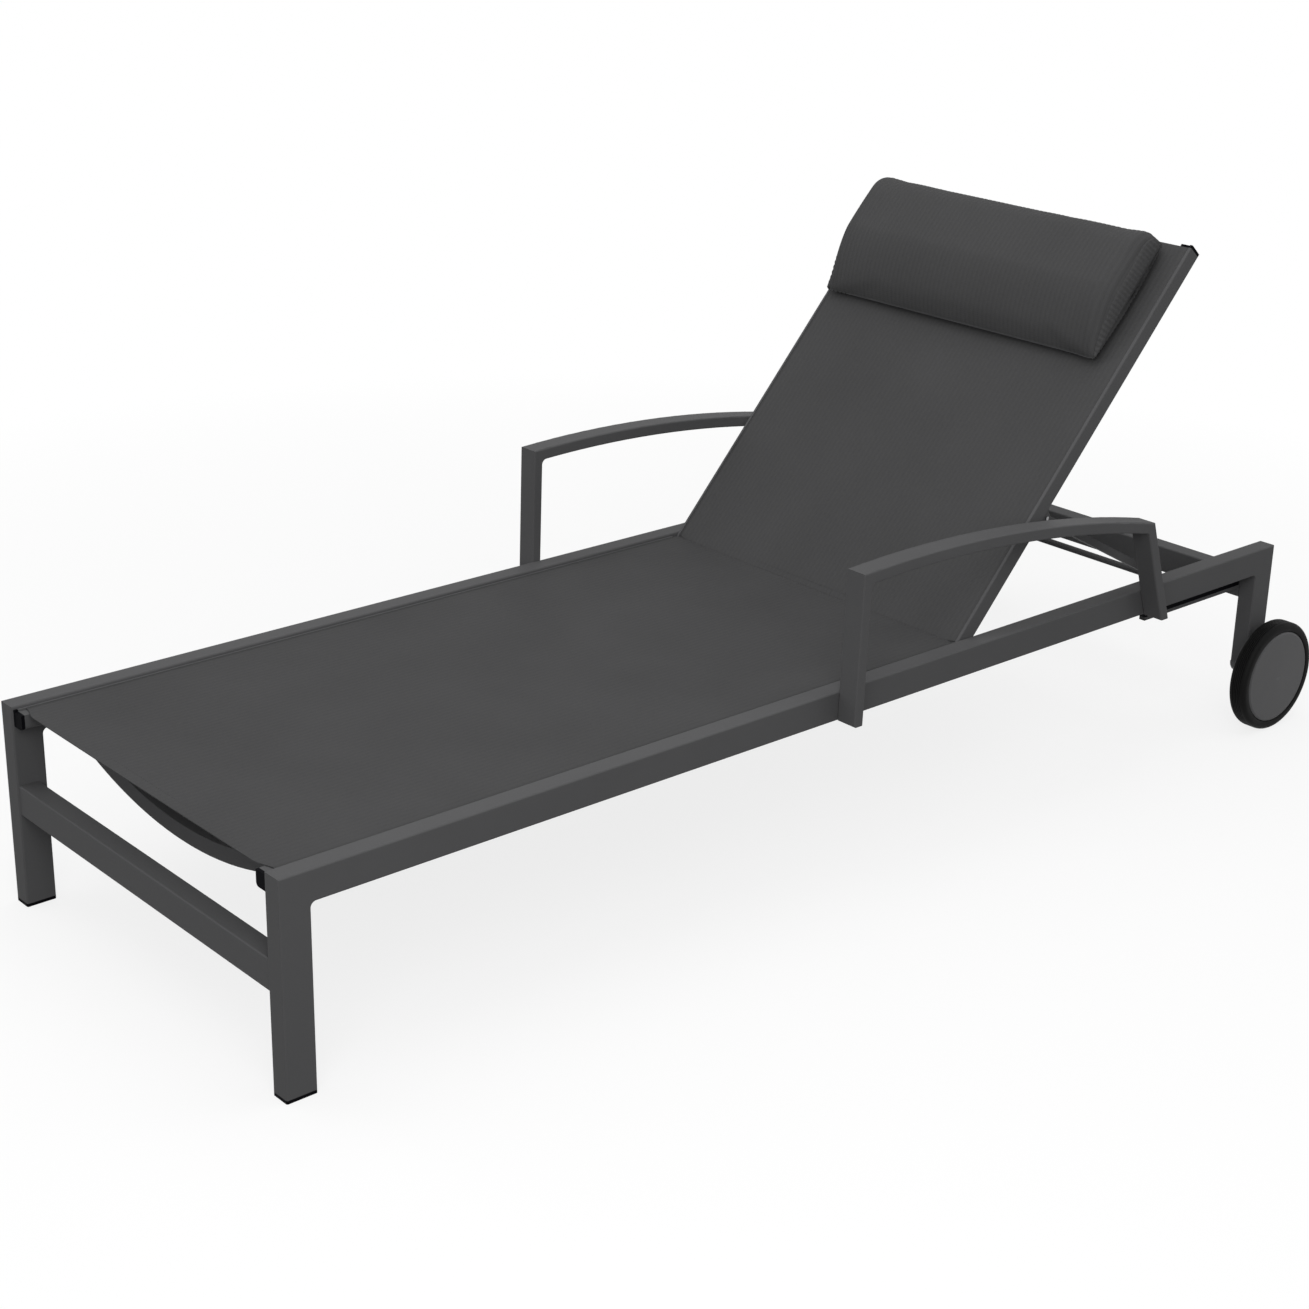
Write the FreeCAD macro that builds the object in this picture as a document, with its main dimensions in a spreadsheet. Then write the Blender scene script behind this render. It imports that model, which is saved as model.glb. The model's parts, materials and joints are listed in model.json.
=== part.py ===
import FreeCAD, Part
import math
import os
import re
import Sketcher
from FreeCAD import Vector

os.makedirs("parts", exist_ok=True)
doc = FreeCAD.newDocument("sun_lounger")

# ---------------------------------------------------------------- dimensions
# Millimetres and degrees.  +Z is up, the foot end faces -Y, the head end +Y.
# The origin lies on the ground, half way along and half way across the part.
# "ahead" counts from the front faces of the front legs towards the head end.
SIZES = [
    # side frames: two rails with mitred legs, joined by two crossbars
    ("frame_length", "2000"),
    ("frame_width", "708"),
    ("frame_height", "312.4"),
    ("rail_width", "31"),
    ("rail_height", "45"),
    ("leg_depth", "46"),
    ("corner_radius", "8"),
    ("tube_wall", "2"),
    ("edge_round", "2.5"),
    ("foot_cap_height", "5"),
    ("front_bar_bottom", "145.5"),
    ("front_bar_height", "45.8"),
    ("front_bar_depth", "31"),
    ("front_bar_ahead", "2"),
    ("rear_bar_drop", "47.4"),
    ("rear_bar_height", "45"),
    ("rear_bar_depth", "33"),
    # sling rails and the bowed spreaders between them
    ("sling_rail_width", "23"),
    ("sling_rail_height", "25.5"),
    ("sling_rail_wall", "2"),
    ("sling_rail_round", "5.7"),
    ("sling_lip_width", "5"),
    ("sling_lip_round", "2"),
    ("sling_recess", "2.6"),
    ("sling_thickness", "2"),
    ("seat_drop", "4.1"),
    ("seat_gap", "0.3"),
    ("seat_rail_ahead", "8"),
    ("seat_rail_short", "18"),
    ("rail_plug", "5"),
    ("seat_sling_ahead", "11"),
    ("seat_sling_short", "9"),
    ("front_screw_ahead", "45"),
    ("rear_screw_inset", "114"),
    ("bow_sag", "69"),
    ("bow_drop", "4"),
    ("bow_height", "23.5"),
    ("bow_depth", "29"),
    ("front_bow_ahead", "72"),
    ("rear_bow_inset", "74"),
    # backrest, turning on two bolts at the rear ends of the seat rails
    ("back_angle", "48.2"),
    ("hinge_from_tail", "758"),
    ("back_side_gap", "1.5"),
    ("back_length", "736"),
    ("back_cap", "5"),
    ("back_sling_start", "4"),
    ("lower_bow_start", "60"),
    ("upper_bow_inset", "81"),
    ("hinge_bolt_radius", "4"),
    ("hinge_head_radius", "7.2"),
    ("hinge_washer_radius", "8"),
    ("hinge_clearance", "0.05"),
    # headrest cushion with its two fastening strips
    ("pillow_width", "580"),
    ("pillow_end_gap", "3"),
    ("pillow_length", "226"),
    ("pillow_height", "52"),
    ("pillow_round", "20"),
    ("strip_height", "2"),
    ("strip_width", "30"),
    ("strip_length", "420"),
    ("strip_inset", "25"),
    # prop stay behind the backrest and the racks that carry its rod
    ("pin_along", "254.4"),
    ("pin_behind", "28.8"),
    ("pin_radius", "3"),
    ("pin_head_radius", "5.4"),
    ("prop_length", "390.1"),
    ("prop_slope", "28.1"),
    ("prop_fold", "1"),
    ("arm_width", "11"),
    ("arm_depth", "12"),
    ("arm_eye_radius", "8"),
    ("arm_side_gap", "1.7"),
    ("rod_radius", "5.5"),
    ("rod_end_gap", "1"),
    ("lug_width", "4"),
    ("lug_length", "34"),
    ("rack_width", "11"),
    ("rack_height", "39"),
    ("rack_drop", "31.4"),
    ("rack_from_hinge", "448"),
    ("rack_chamfer", "8"),
    ("rack_stop_lead", "1.8"),
    ("rack_bar_height", "6"),
    ("rack_screw_inset", "11"),
    ("rack_screw_drop", "7"),
    ("notch_depth", "1.6"),
    # armrests on the outer faces of the rails
    ("armrest_width", "36"),
    ("armrest_thickness", "18.5"),
    ("armrest_radius", "2290"),
    ("armrest_before_hinge", "289.4"),
    ("armrest_beyond_hinge", "368.5"),
    ("armrest_front_rise", "187.6"),
    ("armrest_rear_rise", "129.1"),
    ("armrest_fillet", "9"),
    ("front_post_depth", "17"),
    ("front_post_lean", "4.6"),
    ("rear_post_foot", "19.1"),
    ("rear_post_neck", "14.4"),
    ("rear_post_lean", "59.5"),
    ("armrest_bolt_radius", "3"),
    ("armrest_head_radius", "5.1"),
    ("armrest_bolt_drop", "37.4"),
    # wheels outside the rear legs
    ("wheel_radius", "95.7"),
    ("wheel_width", "29"),
    ("wheel_gap", "28"),
    ("disc_radius", "79.5"),
    ("tyre_round", "5"),
    ("tyre_lip", "4"),
    ("rim_seat", "2"),
    ("rim_wall", "4"),
    ("rim_inset", "3"),
    ("web_inset", "8"),
    ("web_thickness", "4"),
    ("boss_radius", "14.4"),
    ("boss_play", "1"),
    ("boss_inset", "6"),
    ("disc_edge", "1.5"),
    ("disc_bevel", "3"),
    ("disc_crown", "1.5"),
    ("axle_inset", "29.4"),
    ("axle_radius", "6"),
    ("axle_head_radius", "10.2"),
    ("axle_clearance", "0.05"),
    ("axle_end_inset", "4"),
    ("axle_clip_radius", "10.8"),
    ("axle_clip_width", "1.4"),
    ("leg_over_axle", "7.3"),
    ("axle_block_spigot", "20"),
    # small clearances and fixings
    ("fit_gap", "0.3"),
    ("bore_clearance", "0.2"),
    ("screw_radius", "2.5"),
    ("screw_head_radius", "4.5"),
    ("screw_head_height", "3"),
    ("flat_head_height", "1"),
    ("bolt_head_height", "4"),
    ("bolt_reach", "4"),
    ("cap_spigot", "15"),
    ("joint_overlap", "1"),
    ("cut_margin", "5"),
]

# values that follow from the sizes above
DERIVED = [
    ("foot_y", "-(frame_length + wheel_radius - axle_inset) / 2"),
    ("tail_y", "foot_y + frame_length"),
    ("half_width", "frame_width / 2"),
    ("rail_inner", "half_width - rail_width"),
    ("rail_middle", "half_width - rail_width / 2"),
    ("rail_bottom", "frame_height - rail_height"),
    ("corner_y", "leg_depth + corner_radius * (1 - cos(45))"),
    ("corner_z", "rail_bottom - corner_radius * (1 - cos(45))"),
    ("seat_top", "frame_height - seat_drop"),
    ("hinge_ahead", "frame_length - hinge_from_tail"),
    ("hinge_y", "foot_y + hinge_ahead"),
    ("hinge_z", "seat_top - sling_rail_height / 2"),
    ("seat_rail_end", "hinge_ahead - seat_rail_short"),
    ("seat_sling_end", "hinge_ahead - seat_sling_short"),
    ("rear_screw_ahead", "seat_rail_end - rear_screw_inset"),
    ("middle_screw_ahead", "(front_screw_ahead + rear_screw_ahead) / 2"),
    ("rear_bow_ahead", "seat_rail_end - rear_bow_inset"),
    ("middle_bow_ahead", "(front_bow_ahead + rear_bow_ahead) / 2"),
    ("upper_bow_start", "back_length - upper_bow_inset"),
    ("pillow_start", "back_length - pillow_end_gap - pillow_length"),
    ("seat_rail_outer", "rail_inner - seat_gap"),
    ("seat_rail_inner", "seat_rail_outer - sling_rail_width"),
    ("back_rail_outer", "rail_inner - back_side_gap"),
    ("back_rail_inner", "back_rail_outer - sling_rail_width"),
    ("half_section", "sling_rail_height / 2"),
    ("sling_low", "half_section - sling_recess + fit_gap"),
    ("pin_y", "hinge_y + pin_along * cos(back_angle) + pin_behind * sin(back_angle)"),
    ("pin_z", "hinge_z + pin_along * sin(back_angle) - pin_behind * cos(back_angle)"),
    ("prop_ratio", "(prop_slope + back_angle + prop_fold) / back_angle"),
    ("arm_outer", "rail_inner - fit_gap - rack_width - arm_side_gap"),
    ("arm_middle", "arm_outer - arm_width / 2"),
    ("rack_outer", "rail_inner - fit_gap"),
    ("rack_middle", "rack_outer - rack_width / 2"),
    ("rack_ahead", "hinge_ahead + rack_from_hinge"),
    ("rack_stop_height", "frame_height - rack_drop"),
    ("rack_bottom", "rack_stop_height - rack_height"),
    ("rear_bar_y", "tail_y - leg_depth"),
    ("rear_bar_bottom", "frame_height - rear_bar_drop - rear_bar_height"),
    ("axle_y", "tail_y - axle_inset"),
    ("leg_round", "leg_depth / 2"),
    ("leg_end", "wheel_radius + leg_over_axle"),
    ("wheel_inner_face", "half_width + wheel_gap"),
    ("wheel_outer_face", "wheel_inner_face + wheel_width"),
    ("armrest_front_ahead", "hinge_ahead - armrest_before_hinge"),
    ("armrest_front_top", "frame_height + armrest_front_rise"),
    ("armrest_rear_ahead", "hinge_ahead + armrest_beyond_hinge"),
    ("armrest_rear_top", "frame_height + armrest_rear_rise"),
    ("armrest_bolt_height", "frame_height - armrest_bolt_drop"),
    ("chord_y", "armrest_rear_ahead - armrest_front_ahead"),
    ("chord_z", "armrest_rear_top - armrest_front_top"),
    ("chord", "sqrt(chord_y * chord_y + chord_z * chord_z)"),
    ("chord_drop", "sqrt(armrest_radius * armrest_radius - chord * chord / 4)"),
    ("arch_y", "armrest_front_ahead + chord_y / 2 + chord_z / chord * chord_drop"),
    ("arch_z", "armrest_front_top + chord_z / 2 - chord_y / chord * chord_drop"),
    ("arch_inner", "armrest_radius - armrest_thickness"),
    ("front_inner_y", "armrest_front_ahead + front_post_depth"),
    ("rear_inner_y", "armrest_rear_ahead - rear_post_neck"),
    ("front_foot_y", "armrest_front_ahead - front_post_lean"),
    ("rear_foot_y", "armrest_rear_ahead + rear_post_lean"),
    ("front_inside_y", "front_foot_y + front_post_depth"),
    ("rear_inside_y", "rear_foot_y - rear_post_foot"),
]

# the inner corner between each post and the bow, and the fillet in it, which touches the
# post's straight face and the bow's arc: the way down the post from the corner, how far
# down the fillet starts, its start on the post, its centre, its end on the bow, and where
# the mitre between the two pieces crosses it
for end, inward in (("front", ""), ("rear", "-")):
    n = {"e": end, "s": inward}
    DERIVED += [
        (end + "_inner_z", "arch_z + sqrt(arch_inner * arch_inner"
         " - (%(e)s_inner_y - arch_y) * (%(e)s_inner_y - arch_y))" % n),
        (end + "_post_run", "sqrt((%(e)s_inside_y - %(e)s_inner_y) * (%(e)s_inside_y - %(e)s_inner_y)"
         " + (rail_bottom - %(e)s_inner_z) * (rail_bottom - %(e)s_inner_z))" % n),
        (end + "_down_y", "(%(e)s_inside_y - %(e)s_inner_y) / %(e)s_post_run" % n),
        (end + "_down_z", "(rail_bottom - %(e)s_inner_z) / %(e)s_post_run" % n),
        (end + "_round_y", "%(s)s(-%(e)s_down_z) * armrest_fillet" % n),
        (end + "_round_z", "%(s)s%(e)s_down_y * armrest_fillet" % n),
        (end + "_off_y", "%(e)s_inner_y + %(e)s_round_y - arch_y" % n),
        (end + "_off_z", "%(e)s_inner_z + %(e)s_round_z - arch_z" % n),
        (end + "_off_down", "%(e)s_off_y * %(e)s_down_y + %(e)s_off_z * %(e)s_down_z" % n),
        (end + "_fillet_run", "-%(e)s_off_down - sqrt(%(e)s_off_down * %(e)s_off_down"
         " - %(e)s_off_y * %(e)s_off_y - %(e)s_off_z * %(e)s_off_z"
         " + (arch_inner - armrest_fillet) * (arch_inner - armrest_fillet))" % n),
    ]
    for way in ("y", "z"):
        n["w"] = way
        DERIVED += [
            (end + "_on_post_" + way, "%(e)s_inner_%(w)s + %(e)s_down_%(w)s * %(e)s_fillet_run" % n),
            (end + "_centre_" + way, "%(e)s_on_post_%(w)s + %(e)s_round_%(w)s" % n),
            (end + "_on_bow_" + way, "arch_%(w)s + (%(e)s_centre_%(w)s - arch_%(w)s)"
             " * arch_inner / (arch_inner - armrest_fillet)" % n),
            (end + "_back_" + way, "%(e)s_inner_%(w)s - %(e)s_centre_%(w)s" % n),
        ]
    DERIVED += [
        (end + "_mitre", "sqrt((%(e)s_inner_y - armrest_%(e)s_ahead) * (%(e)s_inner_y - armrest_%(e)s_ahead)"
         " + (%(e)s_inner_z - armrest_%(e)s_top) * (%(e)s_inner_z - armrest_%(e)s_top))" % n),
        (end + "_mitre_y", "(%(e)s_inner_y - armrest_%(e)s_ahead) / %(e)s_mitre" % n),
        (end + "_mitre_z", "(%(e)s_inner_z - armrest_%(e)s_top) / %(e)s_mitre" % n),
        (end + "_facing", "-(%(e)s_back_y * %(e)s_mitre_y + %(e)s_back_z * %(e)s_mitre_z)" % n),
        (end + "_past", "%(e)s_facing - sqrt(%(e)s_facing * %(e)s_facing - %(e)s_back_y * %(e)s_back_y"
         " - %(e)s_back_z * %(e)s_back_z + armrest_fillet * armrest_fillet)" % n),
        (end + "_fillet_y", "%(e)s_inner_y + %(e)s_mitre_y * %(e)s_past" % n),
        (end + "_fillet_z", "%(e)s_inner_z + %(e)s_mitre_z * %(e)s_past" % n),
    ]

# where the rod stands over the rack: backrest raised, two steps lower, and flat
for letter, lowered in (("a", "0"), ("b", "0.25"), ("c", "0.5"), ("d", "1")):
    lean = "(back_angle * (1 - %s))" % lowered
    slope = "(prop_ratio * back_angle * %s - back_angle * %s - prop_slope)" % (lowered, lowered)
    DERIVED.append(("notch_%s_y" % letter,
                    "hinge_y + pin_along * cos(%s) + pin_behind * sin(%s) + prop_length * cos(%s)"
                    % (lean, lean, slope)))
    DERIVED.append(("notch_%s_z" % letter,
                    "hinge_z + pin_along * sin(%s) - pin_behind * cos(%s) + prop_length * sin(%s)"
                    % (lean, lean, slope)))

sheet = doc.addObject("Spreadsheet::Sheet", "Dims")
for row, (name, text) in enumerate(SIZES + DERIVED, start=1):
    sheet.set("A%d" % row, name)
    sheet.set("B%d" % row, text if row <= len(SIZES) else "=" + text)
    sheet.setAlias("B%d" % row, name)
doc.recompute()

ALIASES = {name for name, _ in SIZES + DERIVED}


def full(expression):
    """The expression with the sheet's name put before each dimension."""
    return re.sub(r"[a-z][a-z_]*[a-z]", lambda m: "Dims." + m[0] if m[0] in ALIASES else m[0],
                  str(expression))


def value(expression):
    """The expression worked out now, as a plain number."""
    result = sheet.evalExpression(full(expression))
    return float(getattr(result, "Value", result))


# ------------------------------------------------------------------- helpers
pieces = {}


def place(thing, x="0", y="0", z="0", tilt=None):
    """Bind a placement to the sheet; tilt turns the piece about X."""
    if tilt is not None:
        thing.Placement = FreeCAD.Placement(Vector(), FreeCAD.Rotation(Vector(1, 0, 0), 1))
        thing.setExpression("Placement.Rotation.Angle", full(tilt))
    for axis, expression in zip("xyz", (x, y, z)):
        thing.setExpression("Placement.Base." + axis, full(expression))


def new_body(label, x="0", y="0", z="0", tilt=None):
    """An empty body placed by the sheet."""
    body = doc.addObject("PartDesign::Body", label)
    body.Label = label
    place(body, x, y, z, tilt)
    return body


def new_sketch(body, plane, loops):
    """A sketch on one of the body's origin planes.

    Each loop is a list of corners (u, v) or (u, v, radius), where a radius
    makes the side that leads to the next corner an arc; a negative radius
    bends it to the right of the way it runs.  A loop ("circle", u, v, r)
    is a circle.
    """
    sketch = body.newObject("Sketcher::SketchObject", body.Name + "_sketch")
    flat = [f for f in body.Origin.OriginFeatures if f.Role == plane + "_Plane"][0]
    sketch.AttachmentSupport = [(flat, "")]
    sketch.MapMode = "FlatFace"

    def bind(kind, *parts):
        """Add a dimension and bind it to the sheet."""
        number = sketch.addConstraint(Sketcher.Constraint(kind, *parts[:-1], value(parts[-1])))
        sketch.setExpression("Constraints[%d]" % number, full(parts[-1]))

    for loop in loops:
        if loop[0] == "circle":
            u, v, radius = loop[1:]
            ring = sketch.addGeometry(Part.Circle(Vector(value(u), value(v), 0), Vector(0, 0, 1),
                                                  value(radius)))
            bind("DistanceX", -1, 1, ring, 3, u)
            bind("DistanceY", -1, 1, ring, 3, v)
            bind("Radius", ring, radius)
            continue
        spots = [Vector(value(corner[0]), value(corner[1]), 0) for corner in loop]
        sides = []
        for index, corner in enumerate(loop):
            start, end = spots[index], spots[(index + 1) % len(loop)]
            if len(corner) == 2:
                sides.append((sketch.addGeometry(Part.LineSegment(start, end)), 1, 2))
                continue
            radius = value(corner[2])
            chord = end - start
            lift = abs(radius) - math.sqrt(max(radius * radius - chord.Length ** 2 / 4, 0))
            left = Vector(-chord.y, chord.x, 0).normalize()
            middle = (start + end) / 2 - left * lift * math.copysign(1, radius)
            arc = sketch.addGeometry(Part.Arc(start, middle, end))
            first = sketch.getPoint(arc, 1)
            ends = (1, 2) if first.distanceToPoint(start) < 1e-6 else (2, 1)
            sides.append((arc,) + ends)
            bind("Radius", arc, "abs(%s)" % corner[2])
        for index, corner in enumerate(loop):
            side, start, _ = sides[index]
            before, _, end = sides[index - 1]
            sketch.addConstraint(Sketcher.Constraint("Coincident", before, end, side, start))
            bind("DistanceX", -1, 1, side, start, corner[0])
            bind("DistanceY", -1, 1, side, start, corner[1])
    return sketch


def drawn_through(feature, body, plane, loops, length, symmetric, flip, offset):
    """Give a pad or pocket its sketch, its length and its side, all bound to the sheet."""
    sketch = new_sketch(body, plane, loops)
    if offset:
        sketch.AttachmentOffset = FreeCAD.Placement(Vector(0, 0, value(offset)), FreeCAD.Rotation())
        sketch.setExpression("AttachmentOffset.Base.z", full(offset))
    feature.Profile = sketch
    feature.SideType = "Symmetric" if symmetric else "One side"
    feature.Reversed = flip
    feature.setExpression("Length", full(length))
    doc.recompute()


def pad(body, plane, loops, length, symmetric=True, flip=False, offset=None):
    """Raise the loops into a solid, evenly to both sides of the plane unless told."""
    feature = body.newObject("PartDesign::Pad", body.Name + "_pad")
    drawn_through(feature, body, plane, loops, length, symmetric, flip, offset)


def pocket(body, plane, loops, length, symmetric=True, flip=False, offset=None):
    """Cut the loops out of the solid and check that something went."""
    before = body.Shape.Volume
    feature = body.newObject("PartDesign::Pocket", body.Name + "_cut")
    drawn_through(feature, body, plane, loops, length, symmetric, flip, offset)
    if body.Shape.Volume > before - 1e-6:
        raise ValueError("nothing was cut from " + body.Label)


def box_loop(low_u, low_v, high_u, high_v):
    """The four corners of a rectangle."""
    return [(low_u, low_v), (high_u, low_v), (high_u, high_v), (low_u, high_v)]


def round_edges(body, radius, wanted):
    """Round the edges of the body's solid that the test picks."""
    tip = body.Tip
    names = ["Edge%d" % number for number, edge in enumerate(tip.Shape.Edges, start=1) if wanted(edge)]
    feature = body.newObject("PartDesign::Fillet", body.Name + "_round")
    feature.Base = (tip, names)
    feature.setExpression("Radius", full(radius))
    doc.recompute()


def along(direction):
    """A test for straight edges that run along the direction."""
    def test(edge):
        if len(edge.Vertexes) != 2 or edge.Curve.TypeId != "Part::GeomLine":
            return False
        run = (edge.Vertexes[1].Point - edge.Vertexes[0].Point).normalize()
        return abs(run.dot(direction)) > 0.999
    return test


def revolve(body, loops):
    """Turn the loops, drawn as (along X, radius), about the body's X axis."""
    feature = body.newObject("PartDesign::Revolution", body.Name + "_turn")
    sketch = new_sketch(body, "XY", loops)
    feature.Profile = sketch
    feature.ReferenceAxis = (sketch, ["H_Axis"])
    feature.Angle = 360
    doc.recompute()


def keep(thing, label=None):
    """Note a finished piece under its node name."""
    pieces[label or thing.Label] = thing
    return thing


def group(label, members):
    """Several equal solids as one node."""
    compound = doc.addObject("Part::Compound", label)
    compound.Label = label
    compound.Links = members
    doc.recompute()
    return keep(compound)


def bolt(label, x, y, z, side, head_radius, head_height, shank_radius, shank_length, tilt=None):
    """A round-headed bolt along X: head inboard of x, shank outboard, side +1 or -1."""
    body = new_body(label, x, y, z, tilt)
    sign = "" if side > 0 else "-"
    head, shank = "-1 * %s(%s)" % (sign, head_height), "%s(%s)" % (sign, shank_length)
    revolve(body, [[(head, "0"), (head, head_radius), ("0", head_radius), ("0", shank_radius),
                    (shank, shank_radius), (shank, "0")]])
    return body


SIDES = (("left", -1), ("right", 1))
X, Y, Z = Vector(1, 0, 0), Vector(0, 1, 0), Vector(0, 0, 1)


def signed(side, expression):
    """The expression on the chosen side of the middle."""
    return "%d * (%s)" % (side, expression)


# ------------------------------------------------- side rails, mitred at both ends
SCREW_PLACES = ("front_screw_ahead", "middle_screw_ahead", "rear_screw_ahead")
RACK_SCREW = ("rack_ahead + rack_screw_inset", "rack_stop_height - rack_screw_drop")
ARM_BOLT_PLACES = ("front_foot_y + front_post_depth / 2", "rear_foot_y - rear_post_foot / 2")
ACROSS_RAIL = "rail_width + 2 * cut_margin"
for name, side in SIDES:
    body = new_body("side_rail_" + name, signed(side, "rail_middle"), "foot_y", "0")
    outline = [
        ("0", "frame_height"),
        ("corner_y", "corner_z", "-corner_radius"),
        ("leg_depth + corner_radius", "rail_bottom"),
        ("frame_length - leg_depth - corner_radius", "rail_bottom", "-corner_radius"),
        ("frame_length - corner_y", "corner_z"),
        ("frame_length", "frame_height"),
    ]
    pad(body, "YZ", [outline], "rail_width")
    round_edges(body, "edge_round", along(Y))
    pocket(body, "YZ", [box_loop("-cut_margin", "rail_bottom + tube_wall", "frame_length + cut_margin",
                                 "frame_height - tube_wall")], "rail_width - 2 * tube_wall")
    bores = [("circle", screw_y, "hinge_z", "screw_radius + bore_clearance") for screw_y in SCREW_PLACES]
    bores.append(("circle", "hinge_ahead", "hinge_z", "hinge_bolt_radius + bore_clearance"))
    bores.append(("circle",) + RACK_SCREW + ("screw_radius + bore_clearance",))
    pocket(body, "YZ", bores, "rail_width / 2 + cut_margin", symmetric=False, flip=side < 0)
    pocket(body, "YZ", [("circle", bolt_y, "armrest_bolt_height", "armrest_bolt_radius + bore_clearance")
                        for bolt_y in ARM_BOLT_PLACES], ACROSS_RAIL)
    keep(body)

# ------------------------------------------------------ front legs and their caps
for name, side in SIDES:
    body = new_body("front_leg_" + name, signed(side, "rail_middle"), "foot_y", "0")
    outline = [
        ("0", "foot_cap_height"),
        ("leg_depth", "foot_cap_height"),
        ("leg_depth", "rail_bottom - corner_radius", "-corner_radius"),
        ("corner_y", "corner_z"),
        ("0", "frame_height"),
    ]
    pad(body, "YZ", [outline], "rail_width")
    round_edges(body, "edge_round", along(Z))
    pocket(body, "YZ", [box_loop("tube_wall", "foot_cap_height - cut_margin", "leg_depth - tube_wall",
                                 "frame_height + cut_margin")], "rail_width - 2 * tube_wall")
    keep(body)

for name, side in SIDES:
    cap = new_body("foot_cap_" + name, signed(side, "rail_middle"), "foot_y", "0")
    pad(cap, "YZ", [box_loop("0", "0", "leg_depth", "foot_cap_height")], "rail_width")
    round_edges(cap, "edge_round", along(Z))
    pad(cap, "YZ", [box_loop("tube_wall + fit_gap", "foot_cap_height - joint_overlap",
                             "leg_depth - tube_wall - fit_gap", "foot_cap_height + cap_spigot")],
        "rail_width - 2 * (tube_wall + fit_gap)")
    keep(cap)

# ---------------------------------- rear legs, with a rounded axle block in each end
for name, side in SIDES:
    body = new_body("rear_leg_" + name, signed(side, "rail_middle"), "tail_y", "0")
    outline = [
        ("-leg_depth", "leg_end"),
        ("0", "leg_end"),
        ("0", "frame_height"),
        ("-corner_y", "corner_z", "-corner_radius"),
        ("-leg_depth", "rail_bottom - corner_radius"),
    ]
    pad(body, "YZ", [outline], "rail_width")
    round_edges(body, "edge_round", along(Z))
    pocket(body, "YZ", [box_loop("tube_wall - leg_depth", "leg_end - cut_margin", "-tube_wall",
                                 "frame_height + cut_margin")], "rail_width - 2 * tube_wall")
    keep(body)

for name, side in SIDES:
    block = new_body("axle_block_" + name, signed(side, "rail_middle"), "tail_y", "0")
    pad(block, "YZ", [("circle", "-leg_round", "leg_end", "leg_round")], "rail_width")
    pocket(block, "YZ", [box_loop("-leg_depth - cut_margin", "leg_end", "cut_margin",
                                  "leg_end + leg_depth")], ACROSS_RAIL)
    pad(block, "YZ", [box_loop("tube_wall + fit_gap - leg_depth", "leg_end - joint_overlap",
                               "-tube_wall - fit_gap", "leg_end + axle_block_spigot")],
        "rail_width - 2 * (tube_wall + fit_gap)")
    pocket(block, "YZ", [("circle", "-axle_inset", "wheel_radius", "axle_radius + bore_clearance")],
           ACROSS_RAIL)
    keep(block)

# ------------------------------------------------------------------- crossbars
for label, low_y, low_z, deep, tall in (
        ("front_crossbar", "foot_y + front_bar_ahead", "front_bar_bottom", "front_bar_depth",
         "front_bar_height"),
        ("rear_crossbar", "rear_bar_y", "rear_bar_bottom", "rear_bar_depth", "rear_bar_height")):
    bar = new_body(label, "0", low_y, low_z)
    pad(bar, "YZ", [box_loop("0", "0", deep, tall)], "2 * rail_inner")
    round_edges(bar, "edge_round", along(X))
    pocket(bar, "YZ", [box_loop("tube_wall", "tube_wall", deep + " - tube_wall", tall + " - tube_wall")],
           "2 * (rail_inner + cut_margin)")
    keep(bar)


# --------------------------------------------------- sling rails, seat and backrest
def sling_section(side):
    """Outline of a sling rail about its middle: a box with a raised lip outboard."""
    outer, inner = signed(side, "sling_rail_width / 2"), signed(-side, "sling_rail_width / 2")
    step = signed(side, "sling_rail_width / 2 - sling_lip_width")
    return [(inner, "-half_section"), (outer, "-half_section"), (outer, "half_section"),
            (step, "half_section"), (step, "half_section - sling_recess"),
            (inner, "half_section - sling_recess")]


def at_corner(side, outboard, low):
    """A test for the edges along the rail at one corner of its section."""
    u = value("sling_rail_width / 2") * (side if outboard else -side)
    v = value("half_section") * (-1 if low else 1)

    def test(edge):
        middle = edge.CenterOfMass
        return along(Y)(edge) and abs(middle.x - u) < 0.01 and abs(middle.z - v) < 0.01
    return test


def soften(rail, side):
    """Round the rail's inner lower corner and the outer edge of its lip."""
    round_edges(rail, "sling_rail_round", at_corner(side, False, True))
    round_edges(rail, "sling_lip_round", at_corner(side, True, False))


RAIL_CORE = box_loop("sling_rail_wall - sling_rail_width / 2", "sling_rail_wall - half_section",
                     "sling_rail_width / 2 - sling_rail_wall",
                     "half_section - sling_recess - sling_rail_wall")
ACROSS_SLING_RAIL = "sling_rail_width + 2 * cut_margin"
seat_rail_x, back_rail_x = "seat_rail_outer - sling_rail_width / 2", "back_rail_outer - sling_rail_width / 2"

for name, side in SIDES:
    rail = new_body("seat_rail_" + name, signed(side, seat_rail_x), "foot_y + seat_rail_ahead", "hinge_z")
    pad(rail, "XZ", [sling_section(side)], "seat_rail_end - seat_rail_ahead", False, True)
    soften(rail, side)
    pocket(rail, "XZ", [RAIL_CORE], "seat_rail_end", False)
    pocket(rail, "YZ", [("circle", screw_y + " - seat_rail_ahead", "0", "screw_radius + bore_clearance")
                        for screw_y in SCREW_PLACES], ACROSS_SLING_RAIL)
    keep(rail)

for name, side in SIDES:
    plug = new_body("seat_rail_plug_" + name, signed(side, seat_rail_x),
                    "foot_y + seat_rail_ahead - rail_plug", "hinge_z")
    pad(plug, "XZ", [sling_section(side)], "rail_plug", False, True)
    soften(plug, side)
    keep(plug)

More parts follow.
